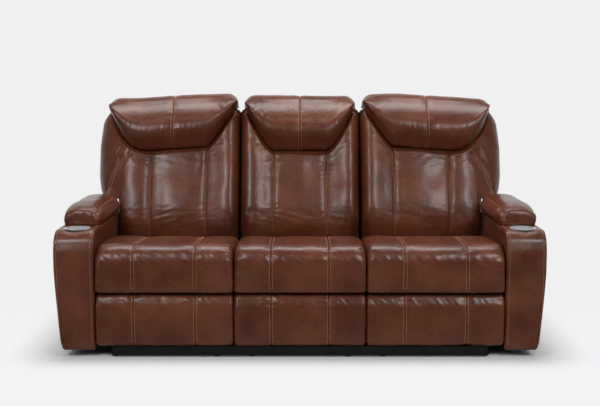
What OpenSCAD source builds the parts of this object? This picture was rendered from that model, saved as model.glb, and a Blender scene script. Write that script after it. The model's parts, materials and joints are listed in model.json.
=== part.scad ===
// Three-seat power reclining sofa, millimetres, +Z up, front towards -Y.
// Origin on the floor under the middle of the sofa's box.

/* [Seats] */
// Width of the middle seat module
mid_seat_w = 540; // [500:5:620]
// Width of each end seat module
end_seat_w = 565; // [530:5:640]
// Gap between the cushions of neighbouring seats
seat_gap = 4; // [3:1:8]
// Height of the seat crown at the front
seat_crown_z = 468; // [455:1:490]
// Height of the seat cushion's top halfway back
seat_mid_z = 457; // [450:1:465]
// Height of the seat cushion's top at its rear edge
seat_rear_z = 418; // [410:1:425]
// Distance from the front plane to the rear edge of the seat cushion
seat_len = 552; // [530:1:556]
// Height of the lower lip of the seat front
lip_z = 276; // [276:1:290]
// Radius of the seat's front crown
crown_r = 78; // [50:1:90]
// Distance of the two sewn channels from the middle seat's centre
mid_channel_x = 118; // [90:1:150]
// Distance of the two sewn channels from an end seat's centre
end_channel_x = 126; // [90:1:150]
// Depth of the sewn channels
channel_d = 6; // [2:1:9]
// Thickness of the foam lip in front of the seat rail
lip_t = 34; // [28:1:40]

/* [Seat frame] */
// Height of the underside of the seat rails
rail_z = 282; // [281:1:286]
// Height of the seat rails
rail_h = 50; // [40:1:56]
// Thickness of the seat rails
rail_t = 22; // [18:1:28]
// Width of one webbing strap
strap_w = 50; // [40:1:60]
// Thickness of the webbing
strap_t = 3; // [2:1:4]
// Number of webbing straps from front to back
strap_n = 5; // [3:1:6]

/* [Footrest] */
// Height of the lower edge of the footrest pad
pad_z0 = 46; // [46:1:90]
// Height of the upper edge of the footrest pad
pad_z1 = 270; // [250:1:271]
// Thickness of the footrest pad
pad_t = 58; // [50:1:62]
// Thickness of the footrest board
board_t = 14; // [10:1:15]

/* [Linkage] */
// Distance from the front plane to the link pivots
link_setback = 86; // [85:1:92]
// Height of the drive tube's axis
drive_z = 240; // [236:1:246]
// Length of the drive link between pivots
drive_link_l = 150; // [140:1:152]
// Length of the carry link between pivots
carry_link_l = 165; // [150:1:170]
// Thickness of the links and mechanism plates
plate_t = 4; // [3:0.5:4.5]
// Width of a link
link_w = 20; // [16:1:22]
// Radius of the link pins
pin_r = 4; // [3:0.5:5]
// Radial clearance in the pivots
pivot_clear = 0.08; // [0.05:0.01:0.1]
// Play of the crank's pin along the fork's slot
fork_play = 1.8; // [1.7:0.1:2.5]
// Radius of the drive tube
drive_r = 8; // [6:0.5:9]
// Length of the drive crank
crank_l = 52; // [46:1:54]
// Crank angle behind straight down when the footrest is closed
crank_angle = 45; // [43:1:47]

/* [Mechanism] */
// Side margin from a module's edge to its base rail's centre
base_margin = 72; // [70:1:90]
// Height of the seat plates
seat_plate_h = 62; // [50:1:66]
// Travel of the seat on its rollers
glide = 60; // [40:5:80]
// Radius of the glide rollers
roller_r = 6; // [5:0.5:8]
// Distance from the front plane to the front roller
roller_front = 200; // [190:1:230]
// Distance from the front plane to the rear roller
roller_rear = 540; // [500:1:545]
// Distance from the front plane to the back hinge
hinge_setback = 675; // [672:1:700]
// Height of the back hinge
hinge_z = 350; // [345:1:360]
// Radius of the back hinge pins
hinge_pin_r = 7; // [5:0.5:9]

/* [Base] */
// Width and height of the steel base rails
base_rail = [25, 33]; // [20:1:40]
// Height of the underside of the base rails
base_z = 12; // [10:1:14]
// Radius of the feet
foot_r = 15; // [10:1:20]
// Height of the front base board's lower edge
board_z = 9; // [6:1:12]
// Height of the front base board
front_board_h = 37; // [30:1:38]
// Height of the top of the rear skirt
skirt_top = 235; // [200:5:240]
// Thickness of the rear skirt
skirt_t = 10; // [8:1:14]
// Distance from the front plane to the rear skirt
skirt_setback = 748; // [746:1:760]

/* [Backs] */
// Lean of the backs behind the vertical, degrees
back_lean = 13; // [11:0.5:15]
// Distance of the gaps between the backs outside the gaps between the seats
back_gap_out = 8; // [5:1:12]
// Length of the back above its hinge
back_len = 655; // [640:1:680]
// Length of the back cover below the hinge
back_drop = 90; // [70:1:95]
// Thickness of the back frame
back_frame_t = 82; // [70:1:86]
// Thickness of the back cover
back_cover_t = 12; // [8:1:14]
// Height of the back cushion's lower edge above the hinge
back_low_u = 32; // [28:1:40]
// Crown of the lumbar area in front of the back frame
lumbar_v = 152; // [140:1:155]
// Width of the wing that reaches over the arm
wing_w = 98; // [84:1:102]
// Height of the wing's lower edge above the hinge, along the back
wing_u = 226; // [223:1:240]
// Height of the wing's outer top corner above the hinge, along the back
wing_top = 590; // [560:1:600]
// Distance of the sewn channels from the middle back's centre
mid_back_channel = 122; // [100:1:140]
// Distance of the sewn channels from an end back's channel centre
end_back_channel = 128; // [100:1:140]

/* [Headrests] */
// Headrest's lower edge below the top of the back
head_below = 218; // [205:1:225]
// Headrest's top above the top of the back
head_above = 57; // [45:1:60]
// Front face of the headrest, in front of the back frame
head_v = 164; // [150:1:170]
// Half width of the middle headrest at its top
mid_head_hw = 258; // [240:1:262]
// Half width of an end headrest at its top
end_head_hw = 298; // [280:1:300]
// Half width of the middle headrest at its lower edge
mid_head_low = 128; // [110:1:150]
// Half width of an end headrest at its lower edge
end_head_low = 153; // [130:1:170]
// Outward shift of an end headrest from its seat's centre
head_shift = 36; // [34:1:40]

/* [Arms] */
// Width of each arm
arm_w = 165; // [155:1:180]
// Height of the arm's top
arm_z = 522; // [515:1:525]
// Height of the arm's lower edge
arm_z0 = 32; // [32:1:45]
// Distance of the arm's front from the front plane
arm_setback = 10; // [0:1:20]
// Distance from the front plane to the arm's rear
arm_rear = 757; // [740:1:762]
// Radius of the arm's upper front edge
arm_r = 62; // [40:1:75]
// How far the arm's outer side draws in at its foot
arm_taper = 26; // [0:1:30]
// Height where the arm's outer side starts to draw in
arm_taper_z = 358; // [300:1:362]
// Thickness of the leather and foam on the arm
arm_skin = 9; // [6:1:12]
// Thickness of the plywood in the arm
ply_t = 15; // [12:1:18]
// Distance from the front plane to the cup holder
cup_setback = 105; // [100:1:110]
// Inner radius of the cup holder
cup_r = 43; // [38:1:46]
// Inner depth of the cup holder
cup_depth = 72; // [50:1:80]
// Width of the cup holder's flange
cup_flange = 11; // [8:1:14]
// Wall thickness of the cup holder
cup_t = 1.5; // [1:0.1:3]
// Distance from the front plane to the front of the armrest pad
arm_pad_setback = 176; // [174:1:185]
// Length of the armrest pad
arm_pad_l = 428; // [400:1:430]
// Height of the armrest pad's crown above the arm
arm_pad_h = 104; // [90:1:108]

/* [Controls] */
// Height of the switch plates
switch_z = 400; // [380:1:430]
// Distance from the front plane to the switch plates
switch_setback = 300; // [250:1:350]
// Height of a switch plate
switch_h = 44; // [40:1:50]
// Length of the rocker of one switch
rocker_l = 38; // [30:1:40]
// Travel half angle that a rocker has room for, degrees
rocker_swing = 7; // [5:0.5:8]
// Radius of the power inlet's bore
inlet_r = 2.75; // [2.5:0.05:3.5]

/* [Hidden] */
$fn = 48;

leather = [0.36, 0.17, 0.10];
black = [0.06, 0.06, 0.06];
steel = [0.45, 0.46, 0.48];
wood = [0.72, 0.56, 0.38];

// Seats are numbered -1 left, 0 middle, 1 right
function seat_w(s) = s == 0 ? mid_seat_w : end_seat_w;
function seat_x(s) = s * (mid_seat_w + end_seat_w) / 2;
function cushion_hw(s) = (seat_w(s) - seat_gap) / 2;
function mech_x(s) = seat_w(s) / 2 - base_margin;

touch = 0.3;
side_seat_edge = mid_seat_w / 2 + end_seat_w;
back_rear = back_frame_t + back_cover_t;
frame_v0 = touch + strap_t;
// Draws in the foot of the middle back, so that it clears the neighbouring seats
back_gap_x = mid_seat_w / 2 + back_gap_out;
skirt_in = back_gap_out + 1;
head_u0 = back_len - head_below;
head_u1 = back_len + head_above;
overall_d = hinge_setback + back_len * sin(back_lean) + back_rear * cos(back_lean);
front_y = -overall_d / 2;
hinge_y = front_y + hinge_setback;
seat_rear_y = front_y + seat_len;
deck_z = rail_z + rail_h + strap_t + touch;
link_y = front_y + link_setback;
board_y0 = front_y + pad_t + touch;
plate_x0 = base_rail[0] / 2 + 7;
roller_z = rail_z - seat_plate_h / 2;
carry_top_z = drive_z + carry_link_l - drive_link_l;

// Helpers: outlines with rounded corners, and a skin through rings

function unit(v) = v / norm(v);
// An arc of n steps that rounds the corner b between a and c
function corner_arc(a, b, c, r, n) =
    let (u = unit(a - b), v = unit(c - b), half = acos(u * v) / 2,
         centre = b + unit(u + v) * r / sin(half),
         p0 = b + u * r / tan(half) - centre, p1 = b + v * r / tan(half) - centre,
         a0 = atan2(p0[1], p0[0]), a1 = atan2(p1[1], p1[0]),
         turn = (a1 - a0 + 540) % 360 - 180)
    [for (i = [0:n]) centre + r * [cos(a0 + turn * i / n), sin(a0 + turn * i / n)]];

// Corners are [x, y, radius, steps]
function rounded(corners) =
    let (m = len(corners))
    [for (i = [0:m - 1])
        let (a = corners[(i + m - 1) % m], b = corners[i], c = corners[(i + 1) % m])
        each corner_arc([a[0], a[1]], [b[0], b[1]], [c[0], c[1]], b[2], b[3])];

// A closed skin through rings of equal length, capped at both ends
module skin(rings) {
    n = len(rings[0]);
    m = len(rings);
    polyhedron(
        points = [for (r = rings) each r],
        faces = concat(
            [for (j = [0:m - 2]) for (i = [0:n - 1]) each
                let (a = j * n + i, b = j * n + (i + 1) % n)
                [[a, b + n, b], [a, a + n, b + n]]],
            [[for (i = [0:n - 1]) i]],
            [[for (i = [n - 1:-1:0]) (m - 1) * n + i]]),
        convexity = 6);
}

// Places a closed outline of [y, z] points at x
function at_x(x, outline) = [for (p = outline) [x, p[0], p[1]]];

// Stations across a cushion as [x, inset]: soft ends and two sewn channels
function stations(hw, channel, depth, soft, centre = 0) =
    [[-hw, soft], [-hw + soft * 0.25, soft * 0.5], [-hw + soft * 0.8, soft * 0.2], [-hw + soft * 2, 1.5],
     [centre - channel - 14, 2], [centre - channel, depth], [centre - channel + 14, 2],
     [centre, 0],
     [centre + channel - 14, 2], [centre + channel, depth], [centre + channel + 14, 2],
     [hw - soft * 2, 1.5], [hw - soft * 0.8, soft * 0.2], [hw - soft * 0.25, soft * 0.5], [hw, soft]];

module both_sides() {
    children();
    mirror([1, 0, 0]) children();
}

module at_seat(s) translate([seat_x(s), 0, 0]) children();

// The back's own frame: y is its rear normal, z runs up along it from the hinge
module at_back(s) translate([seat_x(s), hinge_y, hinge_z]) rotate([-back_lean, 0, 0]) children();

module tube_x(x0, x1, y, z, r) translate([x0, y, z]) rotate([0, 90, 0]) cylinder(h = x1 - x0, r = r);

module bar(x0, x1, y0, y1, z0, z1) translate([x0, y0, z0]) cube([x1 - x0, y1 - y0, z1 - z0]);

// Fixed base

base_rear_y = front_y + hinge_setback + 40;
skirt_z0 = 36;
outrigger_front = 170;
outrigger_rear = 600;
outrigger_y = [front_y + outrigger_front, front_y + outrigger_rear];
outrigger_z = base_z + 3;

// One base: two rails on the floor, cross members, roller posts and the front board
module base_frame(s) color(black) {
    x = mech_x(s);
    rail_x0 = x - base_rail[0] / 2;
    rail_z1 = base_z + base_rail[1];
    at_seat(s) {
        both_sides() {
            bar(rail_x0, rail_x0 + base_rail[0], front_y + 32, base_rear_y, base_z, rail_z1);
            for (y = [front_y + roller_front, front_y + roller_rear]) {
                bar(x + touch, x + touch + 5, y - 14, y + 14, rail_z1, roller_z + 14);
                tube_x(x - 2 * plate_t, x + touch, y, roller_z, roller_r);
                tube_x(x - 3.5 * plate_t, x - 2 * plate_t - touch, y, roller_z, roller_r * 1.7);
                tube_x(x - 2 * plate_t - touch, x - 2 * plate_t, y, roller_z, roller_r);
            }
        }
        for (y = [front_y + 90, base_rear_y - 25])
            bar(-rail_x0, rail_x0, y, y + 25, base_z, rail_z1);
    }
    front_board(s);
    if (s != 0)
        for (y = outrigger_y) {
            x0 = seat_x(1) + x;
            x1 = side_seat_edge + arm_w / 2;
            mirror([s < 0 ? 1 : 0, 0, 0])
                difference() {
                    bar(x0, x1 + 30, y - 12, y + 12, outrigger_z, arm_z0 - touch);
                    translate([x1, y, 0]) cylinder(h = arm_z, r = 5.2);
                }
        }
}

// The black board across the front, from the middle of one gap to the next
module front_board(s) {
    x_in = mid_seat_w / 2 - 0.2;
    x_out = seat_x(1) + mech_x(1);
    y = front_y + 18;
    if (s == 0)
        bar(-x_in, x_in, y, y + 14, board_z, board_z + front_board_h);
    else
        mirror([s < 0 ? 1 : 0, 0, 0])
            bar(mid_seat_w / 2 + 0.2, x_out, y, y + 14, board_z, board_z + front_board_h);
}

module feet() color(black)
    for (s = [-1:1]) at_seat(s) both_sides()
        for (y = [front_y + 49, base_rear_y - 20])
            translate([mech_x(s), y, 0]) {
                cylinder(h = 3, r1 = foot_r - 1.5, r2 = foot_r);
                translate([0, 0, 3]) cylinder(h = base_z - 3, r = foot_r);
            }

module rear_skirt() color(leather) {
    y = front_y + skirt_setback;
    difference() {
        union() {
            bar(-side_seat_edge + 2, side_seat_edge - 2, y, y + skirt_t, skirt_z0, skirt_top);
            for (s = [-1:1]) at_seat(s) both_sides()
                bar(mech_x(s) - 12, mech_x(s) + 12, base_rear_y + touch, y, skirt_z0, base_z + base_rail[1]);
        }
        tube_y(0, y - 1, y + skirt_t + 1, 90, 9);
    }
}

module tube_y(x, y0, y1, z, r) translate([x, y0, z]) rotate([-90, 0, 0]) cylinder(h = y1 - y0, r = r);

// Seat body

// Steel side plates with slots for the rollers, rear arms for the hinge, and cross tubes
module seat_plates(s) color(steel) at_seat(s) {
    x1 = mech_x(s) - touch;
    x0 = x1 - plate_t;
    z0 = rail_z - seat_plate_h;
    both_sides() {
        difference() {
            translate([x0, 0, 0]) rotate([90, 0, 90]) linear_extrude(plate_t) seat_plate_outline(z0);
            tube_x(x0 - 1, x1 + 1, link_y, drive_z, drive_r + pivot_clear);
            for (y = [front_y + roller_front, front_y + roller_rear]) {
                tube_x(x0 - 1, x1 + 1, y, roller_z, roller_r + pivot_clear);
                tube_x(x0 - 1, x1 + 1, y + glide, roller_z, roller_r + pivot_clear);
                bar(x0 - 1, x1 + 1, y, y + glide,
                    roller_z - roller_r - pivot_clear, roller_z + roller_r + pivot_clear);
            }
        }
        tube_x(x1, x1 + 1.5 * plate_t, hinge_y, hinge_z, hinge_pin_r);
        bar(x0 - 22, x0, front_y + 120, seat_rear_y - 20, rail_z - 3, rail_z);
    }
    tube_x(-x0, x0, motor_front_y, motor_tube_z, 8);
    tube_x(-x0, x0, motor_rear_y, motor_tube_z, 8);
}

module seat_plate_outline(z0) {
    nose = link_setback - pad_t - board_t - 2;
    polygon([
        [link_y - nose, drive_z - nose / 2], [link_y, z0], [seat_rear_y + 45, z0],
        [hinge_y + 16, hinge_z - 12], [hinge_y + 16, hinge_z + 14], [hinge_y - 16, hinge_z + 14],
        [seat_rear_y + 10, rail_z], [link_y - nose + 10, rail_z], [link_y - nose, drive_z + nose / 2]]);
}

// Wooden box under the cushion with elastic webbing
module seat_frame(s) at_seat(s) {
    hw = cushion_hw(s) - 3;
    y0 = front_y + lip_t + touch;
    y1 = seat_rear_y - 3;
    color(wood) {
        both_sides() bar(hw - rail_t, hw, y0, y1, rail_z, rail_z + rail_h);
        for (y = [y0, y1 - rail_t]) bar(rail_t - hw, hw - rail_t, y, y + rail_t, rail_z, rail_z + rail_h);
        for (y = [front_y + 135, seat_rear_y - 60])
            bar(rail_t - hw, hw - rail_t, y, y + 30, rail_z, rail_z + 18);
    }
    color(black) {
        pitch = 2 * hw / strap_n;
        for (i = [0:strap_n - 1])
            bar(-hw + (i + 0.5) * pitch - strap_w / 2, -hw + (i + 0.5) * pitch + strap_w / 2,
                y0, y1, rail_z + rail_h, rail_z + rail_h + strap_t);
    }
}

// Side view of the seat cushion, drawn in by d
function seat_outline(d) = rounded([
    [front_y + d, lip_z + d / 3, 9, 2], [front_y + d, seat_crown_z - d, crown_r, 5],
    [front_y + 0.62 * seat_len, seat_mid_z - d, 500, 2],
    [seat_rear_y - d / 3, seat_rear_z - d, 24, 3], [seat_rear_y - d / 3, deck_z, 5, 1],
    [front_y + lip_t, deck_z, 0.2, 1], [front_y + lip_t, lip_z + d / 3, 4, 1]]);

module seat_cushion(s) color(leather) at_seat(s)
    skin([for (p = stations(cushion_hw(s), s == 0 ? mid_channel_x : end_channel_x, channel_d, 18))
        at_x(p[0], seat_outline(p[1]))]);

// Footrest and its links

link_x = plate_t + touch;

module link_plate(x, y0, z0, y1, z1) {
    length = norm([y1 - y0, z1 - z0]);
    translate([x, y0, z0]) rotate([atan2(z1 - z0, y1 - y0), 0, 0]) {
        rotate([0, 90, 0]) cylinder(h = plate_t, r = link_w / 2);
        translate([0, length, 0]) rotate([0, 90, 0]) cylinder(h = plate_t, r = link_w / 2);
        translate([0, 0, -link_w / 2]) cube([plate_t, length, link_w]);
    }
}

// Drive links welded to the cross tube, which the motor turns by its crank
module drive_link(s) color(steel) at_seat(s) {
    x = mech_x(s);
    z1 = drive_z - drive_link_l;
    both_sides() {
        link_plate(x, link_y, drive_z, link_y, z1);
        tube_x(x + plate_t, x + plate_t + link_x, link_y, z1, pin_r);
    }
    tube_x(-x, x, link_y, drive_z, drive_r);
    tip = [link_y + crank_l * sin(crank_angle), drive_z - crank_l * cos(crank_angle)];
    link_plate(-plate_t / 2, link_y, drive_z, tip[0], tip[1]);
    tube_x(-11, 11, tip[0], tip[1], pin_r);
}

// Carry links from the drive links up to the footrest's brackets
module carry_link(s) color(steel) at_seat(s) {
    x = mech_x(s) + link_x;
    z0 = drive_z - drive_link_l;
    both_sides() {
        difference() {
            link_plate(x, link_y, z0, link_y, carry_top_z);
            tube_x(x - 1, x + plate_t + 1, link_y, z0, pin_r + pivot_clear);
        }
        tube_x(x + plate_t, x + plate_t + link_x, link_y, carry_top_z, pin_r);
    }
}

// Plywood board with two steel brackets on its rear
module footrest_board(s) at_seat(s) {
    x = mech_x(s) + 2 * link_x;
    y1 = board_y0 + board_t;
    color(wood) bar(-cushion_hw(s) + 16, cushion_hw(s) - 16, board_y0, y1, pad_z0 + 22, pad_z1 - 13);
    color(steel) both_sides()
        difference() {
            union() {
                tube_x(x, x + plate_t, link_y, carry_top_z, link_w / 2);
                bar(x, x + plate_t, y1, link_y, carry_top_z - 40, carry_top_z + link_w / 2 - 5);
                bar(x, x + plate_t, y1, link_y + 6, carry_top_z - 90, carry_top_z - 20);
            }
            tube_x(x - 1, x + plate_t + 1, link_y, carry_top_z, pin_r + pivot_clear);
        }
}

function pad_outline(d) = rounded([
    [front_y + d, pad_z0 + d, 20, 3], [front_y + d, pad_z1 - d, 24, 3],
    [front_y + pad_t, pad_z1 - 6 - d, 9, 2], [front_y + pad_t, pad_z0 + 6 + d, 9, 2]]);

module footrest_pad(s) color(leather) at_seat(s)
    skin([for (p = stations(cushion_hw(s), s == 0 ? mid_channel_x : end_channel_x, channel_d * 0.8, 15))
        at_x(p[0], pad_outline(p[1]))]);

// Motor and its carriage

motor_front_y = front_y + 165;
motor_rear_y = front_y + 500;
motor_tube_z = rail_z - 18;
spindle_z = 178;
fork_y = link_y + crank_l * sin(crank_angle);
slot_z0 = drive_z - crank_l - pin_r - 2;
slot_z1 = drive_z - crank_l * cos(crank_angle) + pin_r + 4;

// Gear motor with its spindle rail, hung from the seat's cross tubes
module motor(s) color(black) at_seat(s) {
    difference() {
        union() {
            for (y = [motor_front_y, motor_rear_y])
                bar(-16, 16, y - 14, y + 14, spindle_z + 13, motor_tube_z + 14);
            bar(-16, 16, motor_front_y - 14, motor_rear_y + 20, spindle_z + 11, spindle_z + 15);
        }
        for (y = [motor_front_y, motor_rear_y]) tube_x(-17, 17, y, motor_tube_z, 8 + pivot_clear);
    }
    tube_y(0, motor_front_y - 10, motor_rear_y - 30, spindle_z - 2, 6);
    bar(-16, 16, motor_front_y - 14, motor_front_y - 8, spindle_z - 10, spindle_z + 13);
    bar(-22, 22, motor_rear_y - 32, motor_rear_y + 26, spindle_z - 24, spindle_z + 11);
    translate([0, motor_rear_y, spindle_z - 104]) cylinder(h = 80, r = 21);
}

// Nut on the spindle with a slotted fork for the crank's pin
module drive_carriage(s) color(steel) at_seat(s) {
    nut_y = motor_front_y + 80;
    difference() {
        union() {
            bar(-14, 14, nut_y, nut_y + 40, spindle_z - 16, spindle_z + 8);
            both_sides() bar(17, 20, fork_y - 14, nut_y + 40, spindle_z - 16, spindle_z + 6);
            both_sides() bar(14, 17, nut_y, nut_y + 40, spindle_z - 16, spindle_z + 6);
            both_sides() bar(5, 8, fork_y - 13, fork_y + 13, slot_z0 - 12, slot_z1 + 10);
            both_sides() bar(8, 17, fork_y - 14, fork_y - 8, spindle_z - 16, spindle_z + 6);
            both_sides() bar(8, 17, fork_y + 8, fork_y + 14, spindle_z - 16, spindle_z + 6);
        }
        tube_y(0, nut_y - 1, nut_y + 41, spindle_z - 2, 6 + pivot_clear);
        both_sides() bar(4, 9, fork_y - pin_r - fork_play, fork_y + pin_r + fork_play, slot_z0, slot_z1);
    }
}

// Backs

function back_in(s) = s == 0 ? -back_gap_x + 1.5 : back_gap_x + 1.5 - seat_x(1);
function back_out(s) = s == 0 ? back_gap_x - 1.5 : side_seat_edge - 3 - seat_x(1);

// Children are drawn for the right-hand or middle seat and mirrored for the left
module on_side(s) {
    if (s < 0) mirror([1, 0, 0]) at_back(1) children();
    else at_back(s) children();
}

// Plywood rails, webbing and the hinge brackets
module back_frame(s) on_side(s) {
    x0 = back_in(s) + back_cover_t + 2 + (s == 0 ? skirt_in : 0);
    x1 = back_out(s) - back_cover_t - 2 - (s == 0 ? skirt_in : 0);
    x_wing = x1 + wing_w;
    t = back_frame_t - touch;
    u1 = back_len - 30;
    u_wing = wing_top - 30;
    pin_x = mech_x(s) + 1;
    color(wood) {
        for (x = [x0, x1 - rail_t]) bar(x, x + rail_t, frame_v0, t, -60, u1);
        for (u = [44, u1 - 60]) bar(x0 + rail_t, x1 - rail_t, frame_v0, t, u, u + 60);
        if (s != 0) {
            bar(x_wing - rail_t, x_wing, frame_v0, t, wing_u + back_cover_t + 32, u_wing);
            for (u = [wing_u + back_cover_t + 2, u_wing - 40])
                bar(x1, x_wing - rail_t, frame_v0, t, u, u + 40);
        }
    }
    color(black)
        for (u = [150:85:u1 - 120])
            bar(x0, x1, touch, frame_v0, u, u + strap_w);
    color(steel)
        for (m = [0, 1]) mirror([m, 0, 0]) {
            rail_in = m == 0 ? x1 - rail_t : -x0 - rail_t;
            difference() {
                union() {
                    tube_x(pin_x, pin_x + plate_t, 0, 0, hinge_pin_r + 9);
                    bar(pin_x, pin_x + plate_t, 0, t - 10, -16, 40);
                    bar(pin_x + plate_t, rail_in, 30, t - 10, -16, -16 + plate_t);
                }
                tube_x(pin_x - 1, pin_x + plate_t + 1, 0, 0, hinge_pin_r + pivot_clear);
            }
        }
}

// Rear view of a back, with the wing of an end seat, drawn in by i
function back_shape(s, i) =
    let (x0 = back_in(s) + i, x1 = back_out(s) - i, w = x1 + wing_w, u1 = back_len - i, u0 = wing_u + i)
    s == 0
    ? [[x0 + skirt_in, -back_drop], [x1 - skirt_in, -back_drop], [x1 - skirt_in, 20], [x1, 50], [x1, u1],
       [x0, u1], [x0, 50], [x0 + skirt_in, 20]]
    : [[x0, -back_drop], [x1, -back_drop], [x1, u0], [w - 18, u0], [w, u0 + 30],
       [w, wing_top - i], [w - 44, u1 - 22], [w - 66, u1], [x0, u1]];

module back_prism(s, i, v0, v1)
    translate([0, v1, 0]) rotate([90, 0, 0]) linear_extrude(v1 - v0) polygon(back_shape(s, i));

// Outer leather shell round the frame, open towards the cushion
module back_cover(s) color(leather) on_side(s)
    difference() {
        back_prism(s, 0, 0, back_rear);
        back_prism(s, back_cover_t, -1, back_frame_t);
        bar(back_in(s) + back_cover_t + skirt_in, back_out(s) - back_cover_t - skirt_in,
            -1, back_frame_t, -back_drop - 1, 0);
    }

function head_hw(s) = s == 0 ? mid_head_hw : end_head_hw;
function head_low(s) = s == 0 ? mid_head_low : end_head_low;
function head_x(s) = s == 0 ? 0 : head_shift;

// Height of the headrest's lower edge across the back: flat, then rising like a bowl
function bowl_u(s, x) =
    let (a = max(0, abs(x - head_x(s)) - head_low(s) * 0.8) / (head_hw(s) - head_low(s) * 0.8))
    min(head_u0 + min(1, a) ^ 1.9 * (back_len - 12 - head_u0), back_len - 60);

function back_top(s, x) =
    let (a = abs(x - head_x(s)) / (head_hw(s) + 60)) back_len - 4 - 95 * min(1, a) ^ 6;

// Side view of the back cushion at x, drawn in by d
function back_outline(s, x, d) =
    let (top = back_top(s, x) - d, step = min(bowl_u(s, x) - 18, top - 40), upper = lumbar_v - 40)
    rounded([
        [-touch, back_low_u + d / 2, 4, 1], [-touch, top, 8, 1], [-74 + d, top, 16, 2],
        [-76, step + 16, 6, 1], [-upper + d, step + 2, 9, 2],
        [-lumbar_v + d, 152, 120, 3], [-lumbar_v + 42 + d, back_low_u + d / 2, 22, 2]]);

// Side view of the wing over the arm at x, drawn in by d
function wing_outline(s, x, d) =
    let (top = back_top(s, x) - d * 0.6, front = -lumbar_v + 36 + d, low = wing_u + d * 0.4,
         step = min(bowl_u(s, x) - 16, top - 40))
    rounded([
        [-touch, low, 4, 1], [-touch, top, 8, 1], [-74 + d * 0.5, top, 14, 2],
        [-76 + d * 0.5, step + 16, 6, 1], [front + 12, step, 12, 2], [front, (low + step) / 2 + 20, 90, 3],
        [front + 6, low + 60, 50, 2], [front + 40, low, 16, 3]]);

module back_cushion(s) color(leather) on_side(s) {
    x0 = back_in(s);
    x1 = back_out(s);
    ch = s == 0 ? mid_back_channel : end_back_channel;
    c = s == 0 ? 0 : 10;
    inner = [[x0, 20], [x0 + 5, 10], [x0 + 16, 4], [x0 + 45, 2], [(x0 + c - ch) / 2, 1],
             [c - ch - 14, 2], [c - ch, channel_d], [c - ch + 14, 2], [c, 1],
             [c + ch - 14, 2], [c + ch, channel_d], [c + ch + 14, 2], [(x1 + c + ch) / 2 - 10, 1]];
    outer = s == 0 ? [[x1 - 45, 2], [x1 - 16, 4], [x1 - 5, 10], [x1, 20]]
                   : [[x1 - 60, 2], [x1 - 26, 8], [x1 - 2, 24]];
    w = wing_w;
    skin([for (p = concat(inner, outer)) at_x(p[0], back_outline(s, p[0], p[1]))]);
    if (s != 0)
        skin([for (p = [[-30, 14], [0, 0], [0.3 * w, 3], [0.65 * w, 14], [w - 8, 34], [w, 52]])
            at_x(x1 + p[0], wing_outline(s, x1 + p[0], p[1]))]);
}

// Side view of the headrest: over the cushion's top and down its front to u0
function head_outline(s, x, d, u0) =
    let (top = head_u1 - d, mid = (u0 + head_u1) / 2)
    rounded([
        [-77, u0 + d / 3, 5, 1], [-77, back_len + 2, 14, 1], [back_frame_t * 0.3, back_len + 2, 5, 1],
        [back_frame_t * 0.4 - d, top, 22, 2], [-74 + d, top, 52, 3],
        [-head_v + d, mid + 6, 60, 3], [-head_v + 30 + d, u0 + d / 3, 16, 3]]);

module headrest(s) color(leather) on_side(s) {
    hw = head_hw(s);
    skin([for (p = [[-1, 34], [-0.98, 18], [-0.93, 8], [-0.84, 3], [-0.7, 1], [-0.5, 0], [-0.25, 0],
                    [0, 5], [0.25, 0], [0.5, 0], [0.7, 1], [0.84, 3], [0.93, 8], [0.98, 18], [1, 34]])
        let (x = head_x(s) + p[0] * hw)
        at_x(x, head_outline(s, x, p[1], bowl_u(s, x) + 3))]);
}

// Arms

arm_x0 = side_seat_edge;
arm_y0 = front_y + arm_setback;
arm_y1 = front_y + arm_rear;
arm_x1 = arm_x0 + arm_w;
arm_mid_x = arm_x0 + arm_w / 2;
cup_y = front_y + cup_setback;

module on_arm(s) mirror([s < 0 ? 1 : 0, 0, 0]) children();

// Side view of the arm with its rounded front, drawn in by i
module arm_outline(i, z0) {
    r = arm_r - i;
    y0 = arm_y0 + i;
    y1 = arm_y1 - i;
    z1 = arm_z - i;
    translate([y0 + r, z1 - r]) circle(r);
    translate([y0 + r, z0]) square([y1 - y0 - r, z1 - z0]);
    translate([y0, z0]) square([r, z1 - r - z0]);
}

module arm_slab(x0, x1, i, z0)
    translate([x0, 0, 0]) rotate([90, 0, 90]) linear_extrude(x1 - x0) arm_outline(i, z0);

// The space inside the arm's outer side, which slopes in towards the foot, drawn in by i
module arm_room(i)
    translate([0, arm_y1 + 1, 0]) rotate([90, 0, 0]) linear_extrude(arm_rear)
        polygon([[arm_x0, arm_z0 - 2], [arm_x1 - i - arm_taper, arm_z0 - 2], [arm_x1 - i, arm_taper_z],
                 [arm_x1 - i, arm_z + 1], [arm_x0, arm_z + 1]]);

// Leather and foam over the arm, open underneath, with a hole for the cup holder
module arm_cover(s) color(leather) on_arm(s)
    difference() {
        intersection() {
            arm_slab(arm_x0 + 1, arm_x1, 0, arm_z0);
            arm_room(0);
        }
        intersection() {
            arm_slab(arm_x0 + 1 + arm_skin, arm_x1 - arm_skin, arm_skin, arm_z0 - 1);
            arm_room(arm_skin);
        }
        cup_hole();
        switch_hole(1, arm_skin + 6);
        if (s > 0) switch_hole(2, arm_skin + 6);
    }

module cup_hole()
    translate([arm_mid_x, cup_y, arm_z - 60]) cylinder(h = 90, r = cup_r + cup_t + 1);

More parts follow.
